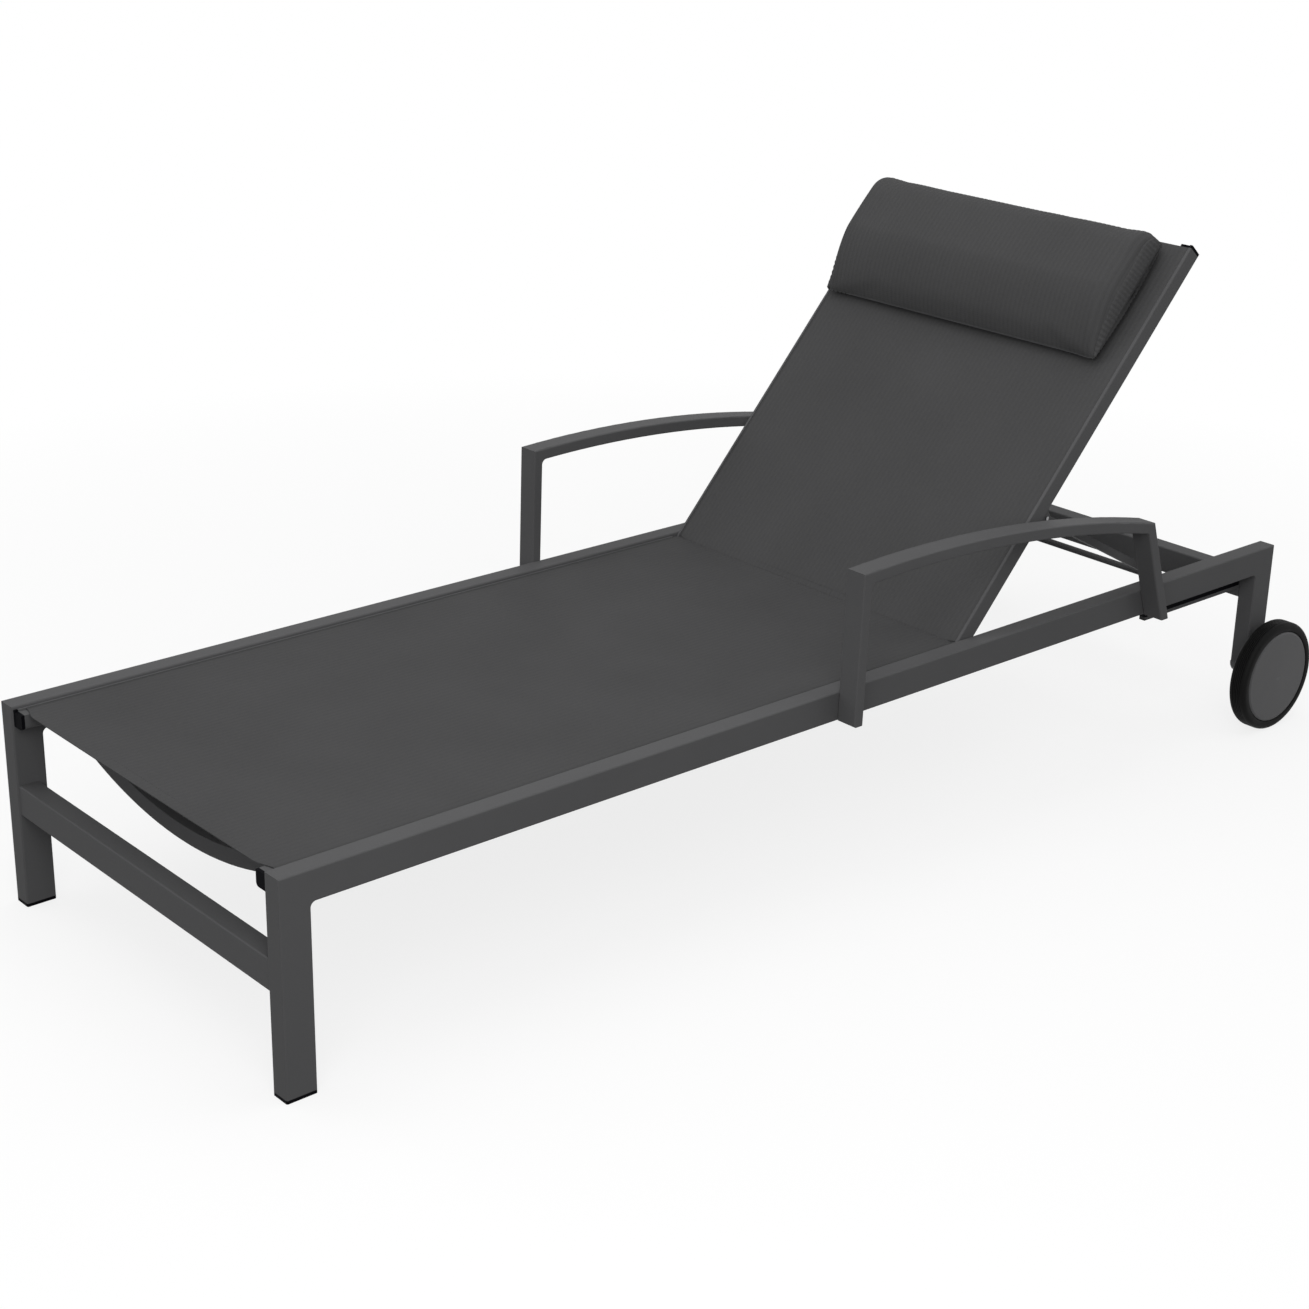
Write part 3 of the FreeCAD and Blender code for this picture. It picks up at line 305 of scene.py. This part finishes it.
def hemmed_panel(name, half, start, end, top, sag, cut, place):
    """A panel with a turned-under hem at each end, hung between two rails.

    Its closed outline, in length and height, is carried across the width: flat on top,
    a half round at each end, and below it a hem that steps back to the single cloth.
    The cloth dips by sag times one minus the square of the share of the half width,
    and towards the two hems by less, as the root of a sine falls off. Near both edges
    the start is drawn back by up to cut, in a smooth step. place turns width, length
    and height into the frame's.
    """
    turn = np.linspace(math.pi / 2, -math.pi / 2, 7)
    reach = HEM_THICK / 2
    bend = top - reach + reach * np.sin(turn)
    front = np.stack([start + reach - reach * np.cos(turn), bend], 1)
    back = np.stack([end - reach + reach * np.cos(turn), bend], 1)
    along = np.linspace(start + HEM_WIDTH, end - HEM_WIDTH, PANEL_STEPS)
    over = np.concatenate([[end - HEM_WIDTH / 2], along[::-1], [start + HEM_WIDTH / 2]])
    above = np.stack([over, np.full(len(over), top)], 1)
    below = np.concatenate([
        [[start + HEM_WIDTH - HEM_STEP, top - HEM_THICK]],
        np.stack([along, np.full(PANEL_STEPS, top - CLOTH_THICK)], 1),
        [[end - HEM_WIDTH + HEM_STEP, top - HEM_THICK]],
    ])
    outline = np.concatenate([above, front, below, back[::-1]])
    across = np.linspace(-half, half, PANEL_ROWS)
    length = outline[:, 0]
    hang = np.sin(math.pi * np.clip((length - start) / (end - start), 0, 1)) ** 0.5
    dip = sag * np.clip(1 - (across / (half - FLAT_EDGE)) ** 2, 0, 1)
    width = np.broadcast_to(across[:, None], (len(across), len(outline)))
    height = outline[None, :, 1] - dip[:, None] * (HEM_DIP + (1 - HEM_DIP) * hang[None, :])
    edge = np.clip(1 - (half - np.abs(across)) / CUT_WIDTH, 0, 1)
    drawn = cut * edge ** 2 * (3 - 2 * edge)
    share = np.clip((end - length) / (end - start), 0, 1) ** CUT_FADE
    length = length[None, :] + drawn[:, None] * share[None, :]
    return skin(name, place(width, length, height), True, True)


def as_laid(width, length, height):
    """Width, length and height as X, Y and Z."""
    return np.stack([width, length, height], axis=-1)


seat_low, seat_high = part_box("seat_sling")
seat_cloth = ribbed_cloth("seat_ribbed_cloth", CLOTH_GREY, tint=0.08, depth=0.00014)
seat_sling = hemmed_panel("seat_sling_cloth", seat_high.x, seat_low.y, seat_high.y,
                          seat_high.z - CLOTH_LOW, SEAT_SAG, SEAT_CUT, as_laid)
dress(seat_sling, seat_cloth, base_body)
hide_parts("seat_sling")

# ------------------------------------------------------------------------ hem thread
# Each hem is held by one row of lockstitch in thread of the cloth's own grey; the
# stitches sink into the coated yarn until only their backs show.
STITCH_PITCH = 0.0055
STITCH_LENGTH = 0.0042
THREAD_RADIUS = 0.00042
STITCH_SUNK = 0.0014      # the thread's middle below the panel's highest level
STITCH_LINE = 0.8 * HEM_WIDTH     # from the panel's end to the row
STITCH_CLEAR = 0.05       # from the panel's side to the row's end
STITCH_SIDES = 6


def stitch_row(start, end, outward):
    """The points and faces of a row of stitches from start to end.

    One stitch is a spindle of six sides and six rings, whose radius follows a half
    ellipse along its length; it is repeated at each pitch along the row.
    """
    run = np.linalg.norm(end - start)
    ahead = (end - start) / run
    aside = np.cross(ahead, outward)
    count = int(run / STITCH_PITCH)
    share = np.array([-1, -0.8, -0.3, 0.3, 0.8, 1])
    swell = np.sqrt(np.clip(1 - share ** 2, 0.02, 1)) * THREAD_RADIUS
    turn = np.arange(STITCH_SIDES) * 2 * math.pi / STITCH_SIDES
    ring = aside * np.cos(turn)[:, None] + outward * np.sin(turn)[:, None]
    one = (ahead * share[:, None, None] * STITCH_LENGTH / 2) + ring[None] * swell[:, None, None]
    middles = start + ahead * (np.arange(count)[:, None] + 0.5) * run / count
    points = (middles[:, None, None] + one[None]).reshape(-1, 3)
    number = np.arange(one[..., 0].size).reshape(len(share), STITCH_SIDES)
    wrapped = np.hstack([number, number[:, :1]])
    corners = [wrapped[:-1, :-1], wrapped[:-1, 1:], wrapped[1:, 1:], wrapped[1:, :-1]]
    sides = np.stack(corners, axis=-1).reshape(-1, 4)
    shift = number.size * np.arange(count)[:, None, None]
    return points, [*(sides + shift).reshape(-1, 4).tolist(),
                    *(number[[0, -1]] + shift).reshape(-1, STITCH_SIDES).tolist()]


def sew_hem(name, half, length, top, place, outward, body):
    """Sew a hem at its length along the panel, between the panel's two sides."""
    middle = top - STITCH_SUNK
    ends = place((half - STITCH_CLEAR) * np.array([-1.0, 1.0]), np.full(2, length), np.full(2, middle))
    row = piece_of(name, *stitch_row(ends[0], ends[1], outward))
    dress(row, thread, body)


thread = moulded_plastic("hem_thread", CLOTH_GREY, (0.6, 0.8), 0.05)
for end_name, row_y in (("front", seat_low.y + STITCH_LINE), ("rear", seat_high.y - STITCH_LINE)):
    sew_hem("seat_hem_stitches_" + end_name, seat_high.x, row_y, seat_high.z,
            as_laid, np.array([0.0, 0.0, 1.0]), base_body)

# ----------------------------------------------------------------------- back sling
# The same cloth, tensioned between the two back rails; it leans with the backrest. Its
# lower hem passes the rails' ends a little, and closes the gap behind the seat.
BACK_SAG = 0.004
BACK_TUCK = 0.0075        # how far the lower hem runs past the rails' ends
RAIL_END_CUT = 0.010      # its corners are cut back at the rails by this much
recline = next(joint for joint in frame["joints"] if joint["name"] == "back_recline")
hinge = np.array(recline["pos_m"], float)
back_lean = -math.radians(recline["range_deg"][0])
UP_BACK = np.array([0, math.cos(back_lean), math.sin(back_lean)])
OFF_BACK = np.array([0, -math.sin(back_lean), math.cos(back_lean)])


def read_points(mesh):
    """The mesh's points as an array."""
    points = np.empty(3 * len(mesh.vertices))
    mesh.vertices.foreach_get("co", points)
    return points.reshape(-1, 3)


def reach_of(node, direction):
    """How far the node reaches from the hinge along a direction: lowest and highest."""
    far = (read_points(frame["nodes"][node].data) - hinge) @ direction
    return far.min(), far.max()


def as_leant(width, length, height):
    """Width, length up the backrest and height off it as points of the frame."""
    return (hinge + width[..., None] * np.array([1, 0, 0]) + length[..., None] * UP_BACK
            + height[..., None] * OFF_BACK)


back_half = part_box("back_sling")[1].x
back_start, back_end = reach_of("back_sling", UP_BACK)
back_start -= BACK_TUCK
back_top = reach_of("back_sling", OFF_BACK)[1]
back_cloth = ribbed_cloth("back_ribbed_cloth", CLOTH_GREY, back_lean)
back_sling = hemmed_panel("back_sling_cloth", back_half, back_start, back_end,
                          back_top - CLOTH_LOW, BACK_SAG, RAIL_END_CUT, as_leant)
dress(back_sling, back_cloth, back_body)
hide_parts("back_sling")
for end_name, row_s in (("lower", back_start + STITCH_LINE), ("upper", back_end - STITCH_LINE)):
    sew_hem("back_hem_stitches_" + end_name, back_half, row_s, back_top, as_leant, OFF_BACK, back_body)

# ------------------------------------------------------------------ headrest pillow
# A foam-filled bolster in the same ribbed cloth: one wrap round its length, and a sewn
# end panel at each side, whose ribs run crosswise. Two strips hold it to the sling.
PILLOW_FRONT = 0.080      # height of the wrap's face above the rails' middle line
PILLOW_CROWN = 0.004      # and how much more the filling lifts its middle
PILLOW_SPREAD = 0.012     # how far the filling spreads each end
PILLOW_SHIFT = -0.015     # it hangs a little to the left
PILLOW_TRIM = 0.004       # its upper side stays this far short of the block's
PILLOW_LIFT = 0.0002      # and its underside lies this far above the block's
LOWER_ROUND = (0.108, 0.063)     # corner towards the seat: along the back, and off it
LOWER_FLAT = 1.45         # 1 is an ellipse; more makes that corner flatter
UPPER_ROUND = (0.034, 0.036)
REAR_ROUND = (0.006, 0.005)
END_ROUND = (0.020, 0.005)      # the end's rounding across and along the back
END_DROP = 0.80           # share of the thickness that is gone at the end
END_FOOT = 0.012          # height above the sling of the end's furthest line
END_BULGE = 0.007
CROWN_FALL = 0.7          # how much of the crown's parabola lies across the pillow
PILLOW_SHRINK = 0.003     # the form starts smaller by this much, and is then blown up
PILLOW_PRESSURE = 4.0
PILLOW_FRAMES = 20
PILLOW_PUFF = 0.004       # no point is blown further than this
PILLOW_AROUND = 96        # points round one section of the form
PILLOW_ACROSS = 84        # its sections between the two ends' rounding
PILLOW_END = 9            # and its sections over the rounding of one end
WRAP_RELIEF = 0.00035
WRAP_GRID = (420, 0.75)   # rows of the fine wrap, and columns of the form per column
END_PITCH = 0.0080
END_RELIEF = 0.00045
END_GRID = (34, 0.2)      # the same for an end panel
END_ROWS = 4              # rows of the form, from its end, that one end panel covers
END_DEEP = 0.03           # how far an end panel reaches in from its seam
END_FADE = 12             # its ribs fade in and out over one part in this many
SEAM_DEPTH = 0.0012
SEAM_WIDTH = 0.0030
SEAM_PLAIN = 0.01         # beside the seam the wrap's ribs fade out over this width
pillow_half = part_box("pillow")[1].x + PILLOW_SPREAD
pillow_start, pillow_end = reach_of("pillow", UP_BACK)
pillow_rest = reach_of("pillow", OFF_BACK)[0]
pillow_middle = (pillow_start + pillow_end) / 2
pillow_reach = (pillow_end - pillow_start) / 2


def pillow_section(count):
    """The closed outline along and off the back, in even steps.

    It starts at the middle of the side that rests: four elliptic quarters and the
    straight runs between them. The sine and cosine of the lower front one are raised
    to LOWER_FLAT.
    """
    quarter = np.linspace(0, math.pi / 2, 25)
    corners = []
    for (run, rise), end, top, turn, power in (
            (REAR_ROUND, pillow_start, pillow_rest, math.pi, 1),
            (LOWER_ROUND, pillow_start, PILLOW_FRONT, math.pi / 2, LOWER_FLAT),
            (UPPER_ROUND, pillow_end, PILLOW_FRONT, 0.0, 1),
            (REAR_ROUND, pillow_end, pillow_rest, -math.pi / 2, 1)):
        inward = 1 if end == pillow_start else -1
        upward = 1 if top == pillow_rest else -1
        angle = turn + math.pi / 2 - quarter
        ahead, up = (np.sign(part) * np.abs(part) ** power for part in (np.cos(angle), np.sin(angle)))
        corners.append(np.stack([end + inward * run + run * ahead,
                                 top + upward * rise + rise * up], 1))
    rest = np.array([[pillow_middle, pillow_rest]])
    loop = np.concatenate([rest, *corners, rest])
    gone = np.concatenate([[0], np.cumsum(np.linalg.norm(np.diff(loop, axis=0), axis=1))])
    even = np.linspace(0, gone[-1], count, endpoint=False)
    return np.stack([np.interp(even, gone, loop[:, axis]) for axis in (0, 1)], 1)


def pillow_grid(section, shrink):
    """Sections from the left end to the right: points as (across, along, off the back).

    Towards an end they draw in about a line near their foot as a quarter ellipse does,
    down to a sliver. The face is crowned by a parabola along the back times one across
    it, and the ends bulge by the same parabola along the back.
    """
    half = pillow_half - shrink
    turn = np.linspace(0, math.pi / 2, PILLOW_END + 1)[1:]
    inner = np.linspace(-(half - END_ROUND[0]), half - END_ROUND[0], PILLOW_ACROSS)
    outer = half - END_ROUND[0] + END_ROUND[0] * np.sin(turn)
    across = np.concatenate([-outer[::-1], inner, outer])
    drawn = np.concatenate([1 - np.cos(turn[::-1]), np.zeros(PILLOW_ACROSS), 1 - np.cos(turn)])
    ended = np.concatenate([np.sin(turn[::-1]), np.zeros(PILLOW_ACROSS), np.sin(turn)])
    height = (PILLOW_FRONT + pillow_rest) / 2
    tall = (PILLOW_FRONT - pillow_rest) / 2
    along = pillow_middle + (section[:, 0] - pillow_middle) * (
        1 - (shrink + END_ROUND[1] * drawn[:, None]) / pillow_reach)
    off = height + (section[:, 1] - height) * (1 - shrink / tall)
    foot = pillow_rest + END_FOOT
    off = foot + (off - foot) * (1 - END_DROP * drawn[:, None])
    arch = np.clip(1 - ((along - pillow_middle) / pillow_reach) ** 2, 0, 1)
    broad = 1 - (CROWN_FALL * across / half)[:, None] ** 2
    off = off + PILLOW_CROWN * arch * broad * np.clip((off - pillow_rest) / (2 * tall), 0, 1)
    across = across[:, None] + np.sign(across)[:, None] * END_BULGE * arch * ended[:, None]
    return np.stack([across, along, off], axis=-1)


def puffed(piece, pressure, steps, most):
    """How the piece's points move when its cloth is blown up for some steps.

    No point moves further than most. The piece itself is left as it was.
    """
    began = read_points(piece.data)
    cloth = piece.modifiers.new("Cloth", "CLOTH")
    cloth.settings.use_pressure = True
    cloth.settings.uniform_pressure_force = pressure
    cloth.settings.effector_weights.gravity = 0
    cloth.settings.quality = 6
    for step in range(1, steps + 1):
        bpy.context.scene.frame_set(step)
    shown = piece.evaluated_get(bpy.context.evaluated_depsgraph_get())
    moved = read_points(bpy.data.meshes.new_from_object(shown)) - began
    piece.modifiers.clear()
    bpy.context.scene.frame_set(1)
    far = np.linalg.norm(moved, axis=1, keepdims=True)
    return moved * np.minimum(1, most / np.maximum(far, 1e-9))


def curve_through(points, at, axis, around):
    """The points read at fractional places along an axis.

    A cubic runs through the four nearest points (Catmull-Rom). Around joins the axis's
    last point to its first.
    """
    number = np.floor(at).astype(int)
    share = at - number
    weights = (-share ** 3 + 2 * share ** 2 - share, 3 * share ** 3 - 5 * share ** 2 + 2,
               -3 * share ** 3 + 4 * share ** 2 + share, share ** 3 - share ** 2)
    count = points.shape[axis]
    shape = [1, 1, 1]
    shape[axis] = len(at)
    total = 0
    for shift, weight in zip((-1, 0, 1, 2), weights):
        pick = (number + shift) % count if around else np.clip(number + shift, 0, count - 1)
        total = total + np.take(points, pick, axis=axis) * (weight / 2).reshape(shape)
    return total


def finer(grid, rows, step):
    """The grid read at fractional rows, and round its columns in steps of a column."""
    columns = np.arange(0, grid.shape[1], step)
    return curve_through(curve_through(grid, rows, 0, False), columns, 1, True)


def lifted(grid, height):
    """The grid's points moved out by the heights along its normals.

    A normal is the cross product of the steps along a row and along a column.
    """
    along_row = (np.roll(grid, -1, axis=1) - np.roll(grid, 1, axis=1)) / 2
    normal = np.cross(along_row, np.gradient(grid, axis=0))
    normal /= np.maximum(np.linalg.norm(normal, axis=-1, keepdims=True), 1e-12)
    centre = grid.mean(axis=(0, 1))
    outward = np.sign(np.sum(normal * (grid - centre), axis=-1).mean())
    return grid + outward * normal * height[..., None]


def softened(field):
    """The field blurred twice with weights 1, 2, 1, along the rows and round them."""
    for _ in range(2):
        field = (np.roll(field, 1, 1) + 2 * field + np.roll(field, -1, 1)) / 4
        inner = (field[:-2] + 2 * field[1:-1] + field[2:]) / 4
        field = np.concatenate([field[:1], inner, field[-1:]])
    return field


def padded_piece(name, points, finish):
    """One closed piece of the pillow's cover, from points across, along and off the back."""
    piece = skin(name, as_leant(points[..., 0], points[..., 1], points[..., 2]), True, True)
    dress(piece, finish, back_body)
    return piece


form = pillow_grid(pillow_section(PILLOW_AROUND), PILLOW_SHRINK)
core = skin("pillow_core", form, True, True)
push = puffed(core, PILLOW_PRESSURE, PILLOW_FRAMES, PILLOW_PUFF)
bpy.data.objects.remove(core)
form = form + softened(push.reshape(form.shape))

# the foam keeps the length, width and height that the cover was cut to
low, high = form.min(axis=(0, 1)), form.max(axis=(0, 1))
cut_low = np.array([PILLOW_SHIFT - pillow_half, pillow_start, pillow_rest + PILLOW_LIFT])
cut_high = np.array([PILLOW_SHIFT + pillow_half, pillow_end - PILLOW_TRIM, PILLOW_FRONT + PILLOW_CROWN])
form = cut_low + (form - low) / (high - low) * (cut_high - cut_low)

# the wrap: fine ribs round it, and a groove where each end panel is sewn on
last = len(form) - 1
wrap = finer(form, np.linspace(END_ROWS, last - END_ROWS, WRAP_GRID[0]), WRAP_GRID[1])
edge_x = np.abs(wrap[0, :, 0] - PILLOW_SHIFT).mean()
from_seam = edge_x - np.abs(wrap[..., 0] - PILLOW_SHIFT)
ribs = WRAP_RELIEF * np.cos(2 * math.pi * wrap[..., 0] / RIB_PITCH)
groove = SEAM_DEPTH * np.exp(-(from_seam / SEAM_WIDTH) ** 2)
wrap = lifted(wrap, ribs * np.clip(from_seam / SEAM_PLAIN, 0, 1) - groove)
wrap_cloth = ribbed_cloth("pillow_ribbed_cloth", CLOTH_GREY, back_lean, tint=0.12, depth=0.0)
pillow = padded_piece("headrest_pillow_wrap", wrap, wrap_cloth)
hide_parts("pillow")

# the two end panels: coarser ribs across them, and the same groove
end_cloth = ribbed_cloth("pillow_end_cloth", CLOTH_GREY, back_lean, "Y", END_PITCH, 0.14, 0.0)
for side, first, seam in (("left", 0, END_ROWS), ("right", last, last - END_ROWS)):
    panel = finer(form, np.linspace(first, seam, END_GRID[0]), END_GRID[1])
    inward = np.linspace(1, 0, END_GRID[0])[:, None]
    fade = np.clip((1 - inward) * END_FADE, 0, 1) * np.clip(inward * END_FADE, 0, 1)
    ribs = END_RELIEF * np.cos(2 * math.pi * panel[..., 1] / END_PITCH) * fade
    groove = SEAM_DEPTH * np.exp(-(inward * END_DEEP / SEAM_WIDTH) ** 2)
    padded_piece("headrest_pillow_end_" + side, lifted(panel, ribs - groove), end_cloth)
hook_tape = moulded_plastic("hook_tape", CAP_BLACK, (0.8, 0.95), 0.05)
finish_nodes(["pillow_strips"], hook_tape)

# ------------------------------------------------- hinge bolts, washers and screws
# Zinc-plated steel fixings; the backrest turns on two shouldered bolts with nylon
# washers between it and the frame.
STEEL_GREY = (0.42, 0.42, 0.43)
MARK_WIDTH = 0.0006       # turning marks
MARK_RELIEF = 0.00003
BLOTCH_WIDTH = 0.008      # dull blotches of the plating


def plated_steel(name, colour):
    """Zinc-plated steel: metal with fine turning marks and dull blotches."""
    finish, tree, shader = new_finish(name)
    place = add(tree, "TexCoord").outputs["Object"]
    marks = cloudy(tree, place, MARK_WIDTH, 2.0)
    dull = cloudy(tree, place, BLOTCH_WIDTH, 3.0)
    tree.links.new(shades(tree, dull, colour, 0.75, 1.15), shader.inputs["Base Color"])
    tree.links.new(between(tree, dull, 0.28, 0.50), shader.inputs["Roughness"])
    shader.inputs["Metallic"].default_value = 1.0
    raised(tree, shader, marks, MARK_RELIEF)
    return finish


steel = plated_steel("plated_steel", STEEL_GREY)
finish_nodes(["hinge_bolt_left", "hinge_bolt_right", "seat_screws", "rack_screws", "prop_pins",
              "armrest_bolts", "axle_left", "axle_right", "axle_clips"], steel)
finish_nodes(["hinge_washers"], black_plastic)

# ------------------------------------------------------------- prop stay and racks
# Flat coated arms, pinned to lugs under the back rails, carry a rod that drops into
# the scallops of two black nylon racks; a coated bar stiffens each rack from below.
finish_nodes(["prop_lug_left", "prop_lug_right", "prop_arm_left", "prop_arm_right", "prop_rod",
              "rack_bar_left", "rack_bar_right"], frame_coat)
finish_nodes(["rack_left", "rack_right"], black_plastic)

# ------------------------------------------------------------------------- armrests
# Low arched bows of wide flat tube on two posts each, bolted to the outer faces of
# the rails and coated with the frame.
finish_nodes(["armrest_" + part + "_" + side for part in ("bow", "front_post", "rear_post")
              for side in ("left", "right")], frame_coat)

# --------------------------------------------------------------------------- wheels
# A moulded wheel body with a flat cover disc, and a black rubber tyre stretched over
# it. The tread has fine grooves all round, and the tyre's outer edge stands proud.
TYRE_BLACK = (0.004, 0.004, 0.004)
TYRE_SHINE = 0.08
GROOVES = 5
GROOVE_DEPTH = 0.0021
GROOVE_STEPS = 12         # points of the outline for each groove
TYRE_EDGE = 0.008
TYRE_BULGE = 0.004        # how far the soft tread swells inwards past its rim
TYRE_STEPS = 128
# the points of the lip: how far in from the outer side, and how far above the disc's edge
TYRE_LIP = [(0.0, 0.0040), (0.0004, 0.0022), (0.0014, 0.0012), (0.0030, 0.0010)]
DUST_WIDTH = 0.02
PORE_WIDTH = 0.0007
PORE_RELIEF = 0.00005


def rubber(name, colour):
    """Moulded rubber: dark, a little dusty, with a dull sheen in patches."""
    finish, tree, shader = new_finish(name)
    shader.inputs["Specular IOR Level"].default_value = TYRE_SHINE
    place = add(tree, "TexCoord").outputs["Object"]
    dust = cloudy(tree, place, DUST_WIDTH, 4.0)
    pores = cloudy(tree, place, PORE_WIDTH, 1.0)
    tree.links.new(shades(tree, dust, colour, 0.8, 1.5), shader.inputs["Base Color"])
    tree.links.new(between(tree, dust, 0.45, 0.70), shader.inputs["Roughness"])
    raised(tree, shader, pores, PORE_RELIEF)
    return finish


def turned(name, outline, axis_y, axis_z, steps):
    """A ring: an outline of (place along X, radius) turned about an axis along X."""
    turn = np.linspace(0, 2 * math.pi, steps, endpoint=False)
    along, radius = outline[:, 0], outline[:, 1]
    points = np.stack([np.broadcast_to(along, (steps, len(outline))),
                       axis_y + np.cos(turn)[:, None] * radius,
                       axis_z + np.sin(turn)[:, None] * radius], axis=-1)
    closed = np.concatenate([points, points[:1]])
    return skin(name, closed, around=True)


def tyre_outline(inner, outer, rim, disc, radius):
    """The tyre's closed section from its inner face to its outer one.

    Both shoulders are quarter rounds. Between them the tread dips at each groove by the
    upper part of a cosine, and the outer side wall ends in a low lip about the disc.
    """
    way = 1 if outer > inner else -1
    quarter = np.linspace(0, math.pi / 2, 9)
    aside = TYRE_EDGE * (1 - np.cos(quarter))
    rise = radius - TYRE_EDGE + TYRE_EDGE * np.sin(quarter)
    inner_round = np.stack([inner + way * aside, rise], 1)
    outer_round = np.stack([outer - way * aside, rise], 1)[::-1]
    share = np.linspace(0, 1, GROOVE_STEPS * GROOVES + 1)[1:-1]
    dips = np.clip(np.cos(2 * math.pi * (GROOVES * share - 0.5)) * 1.6 - 0.6, 0, 1)
    tread = np.stack([inner_round[-1, 0] + share * (outer_round[0, 0] - inner_round[-1, 0]),
                      radius - GROOVE_DEPTH * dips], 1)
    lip = np.array([[outer - way * inset, disc + above] for inset, above in TYRE_LIP])
    foot = np.array([[lip[-1, 0], rim], [inner, rim]])
    return np.concatenate([inner_round, tread, outer_round, lip, foot])


tyre_rubber = rubber("tyre_rubber", TYRE_BLACK)
for side in ("left", "right"):
    low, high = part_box("tyre_" + side)
    radius, disc, rim = ((top.z - bottom.z) / 2 for bottom, top in (
        (low, high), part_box("hub_cap_" + side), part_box("wheel_hub_" + side)))
    if side == "right":
        inner, outer = low.x - TYRE_BULGE, high.x
    else:
        inner, outer = high.x + TYRE_BULGE, low.x
    tyre = turned("tyre_tread_" + side, tyre_outline(inner, outer, rim, disc, radius),
                  (low.y + high.y) / 2, (low.z + high.z) / 2, TYRE_STEPS)
    dress(tyre, tyre_rubber, "wheel_" + side)
    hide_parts("tyre_" + side)
    finish_nodes(["wheel_hub_" + side, "hub_cap_" + side], grey_plastic)

# ------------------------------------------------------------------ studio and camera
# A pale floor that takes a faint shadow, a soft sky all round and four wide lamps, with
# the camera at the height of a standing adult's eyes.
CAMERA_AT = (2.5848, -2.4128, 1.6395)
CAMERA_TURN = (68.345, -1.149, 48.960)
CAMERA_LENS = 66.52
SKY = 0.41
LAMP_WIDTH = 3.2
LAMP_AIM = (0.0, 0.0, 0.3)
LAMPS = [("top_lamp", (0.0, 0.0, 3.4), 42.0), ("key_lamp", (2.8, -2.6, 2.4), 95.0),
         ("fill_lamp", (-2.8, -2.6, 2.4), 23.0), ("rear_lamp", (3.0, 3.6, 1.6), 24.0)]
FLOOR_BOUNCE = 0.12
GLOW_NEAR, GLOW_FAR = 0.80, 1.0      # the floor's share of plain white near and far off
GLOW_START, GLOW_END = 1.1, 2.6      # between these distances from its middle, metres
FLOOR_HALF = 40.0


def seen(tree):
    """1 for camera, glossy and transmission rays, which show the background white."""
    path = add(tree, "LightPath")
    first = calc(tree, "MAXIMUM", path.outputs["Is Camera Ray"], path.outputs["Is Glossy Ray"])
    return calc(tree, "MAXIMUM", first, path.outputs["Is Transmission Ray"])


def chosen_by(tree, share, first, second):
    """The mix of two shaders: all first at a share of 0, all second at 1."""
    mix = add(tree, "MixShader")
    for socket, value in zip(mix.inputs, (share, first.outputs[0], second.outputs[0])):
        join(tree, value, socket)
    return mix


def pale_floor():
    """Pale paint that looks nearly white and still takes the shadow."""
    finish, tree, shader = new_finish("pale_floor")
    place = add(tree, "TexCoord").outputs["Object"]
    tree.links.new(shades(tree, cloudy(tree, place, 0.8, 2.0), (0.9, 0.9, 0.9), 0.99, 1.0),
                   shader.inputs["Base Color"])
    shader.inputs["Roughness"].default_value = 0.9
    shader.inputs["Specular IOR Level"].default_value = 0.0
    bounce = add(tree, "BsdfDiffuse", Color=(FLOOR_BOUNCE, FLOOR_BOUNCE, FLOOR_BOUNCE, 1))
    white = add(tree, "Emission", Color=(1, 1, 1, 1), Strength=1.0)
    far_off = add(tree, "VectorMath", {"operation": "LENGTH"}, Vector=place).outputs["Value"]
    share = add(tree, "MapRange", {"clamp": True}, Value=far_off, From_Min=GLOW_START,
                From_Max=GLOW_END, To_Min=GLOW_NEAR, To_Max=GLOW_FAR).outputs["Result"]
    lit = chosen_by(tree, share, shader, white)
    shown = chosen_by(tree, seen(tree), bounce, lit)
    tree.links.new(shown.outputs[0], tree.nodes["Material Output"].inputs["Surface"])
    return finish


floor_z = cad_box[0].z
floor_line = np.linspace(-FLOOR_HALF, FLOOR_HALF, 9)
floor_x, floor_y = np.meshgrid(floor_line, floor_line)
floor = skin("floor", np.stack([floor_x, floor_y, np.full(floor_x.shape, floor_z)], axis=-1))
floor.data.materials.append(pale_floor())

world = bpy.data.worlds.new("soft_sky")
world.use_nodes = True
sky = world.node_tree
sky.nodes.clear()
dim = add(sky, "Background", Color=(1, 1, 1, 1), Strength=SKY)
white = add(sky, "Background", Color=(1, 1, 1, 1), Strength=1.0)
shown_sky = chosen_by(sky, seen(sky), dim, white)
sky.links.new(shown_sky.outputs[0], add(sky, "OutputWorld").inputs["Surface"])
bpy.context.scene.world = world

for name, place, power in LAMPS:
    lamp = bpy.data.lights.new(name, "AREA")
    lamp.shape, lamp.size, lamp.energy = "DISK", LAMP_WIDTH, power
    holder = bpy.data.objects.new(name, lamp)
    holder.location = place
    holder.rotation_euler = (Vector(LAMP_AIM) - Vector(place)).to_track_quat("-Z", "Y").to_euler()
    bpy.context.scene.collection.objects.link(holder)

eye = bpy.data.cameras.new("camera")
eye.lens, eye.sensor_width = CAMERA_LENS, 36.0
camera = bpy.data.objects.new("camera", eye)
camera.location = CAMERA_AT
camera.rotation_euler = tuple(math.radians(angle) for angle in CAMERA_TURN)
bpy.context.scene.collection.objects.link(camera)
bpy.context.scene.camera = camera
bpy.context.scene.view_settings.view_transform = "Standard"
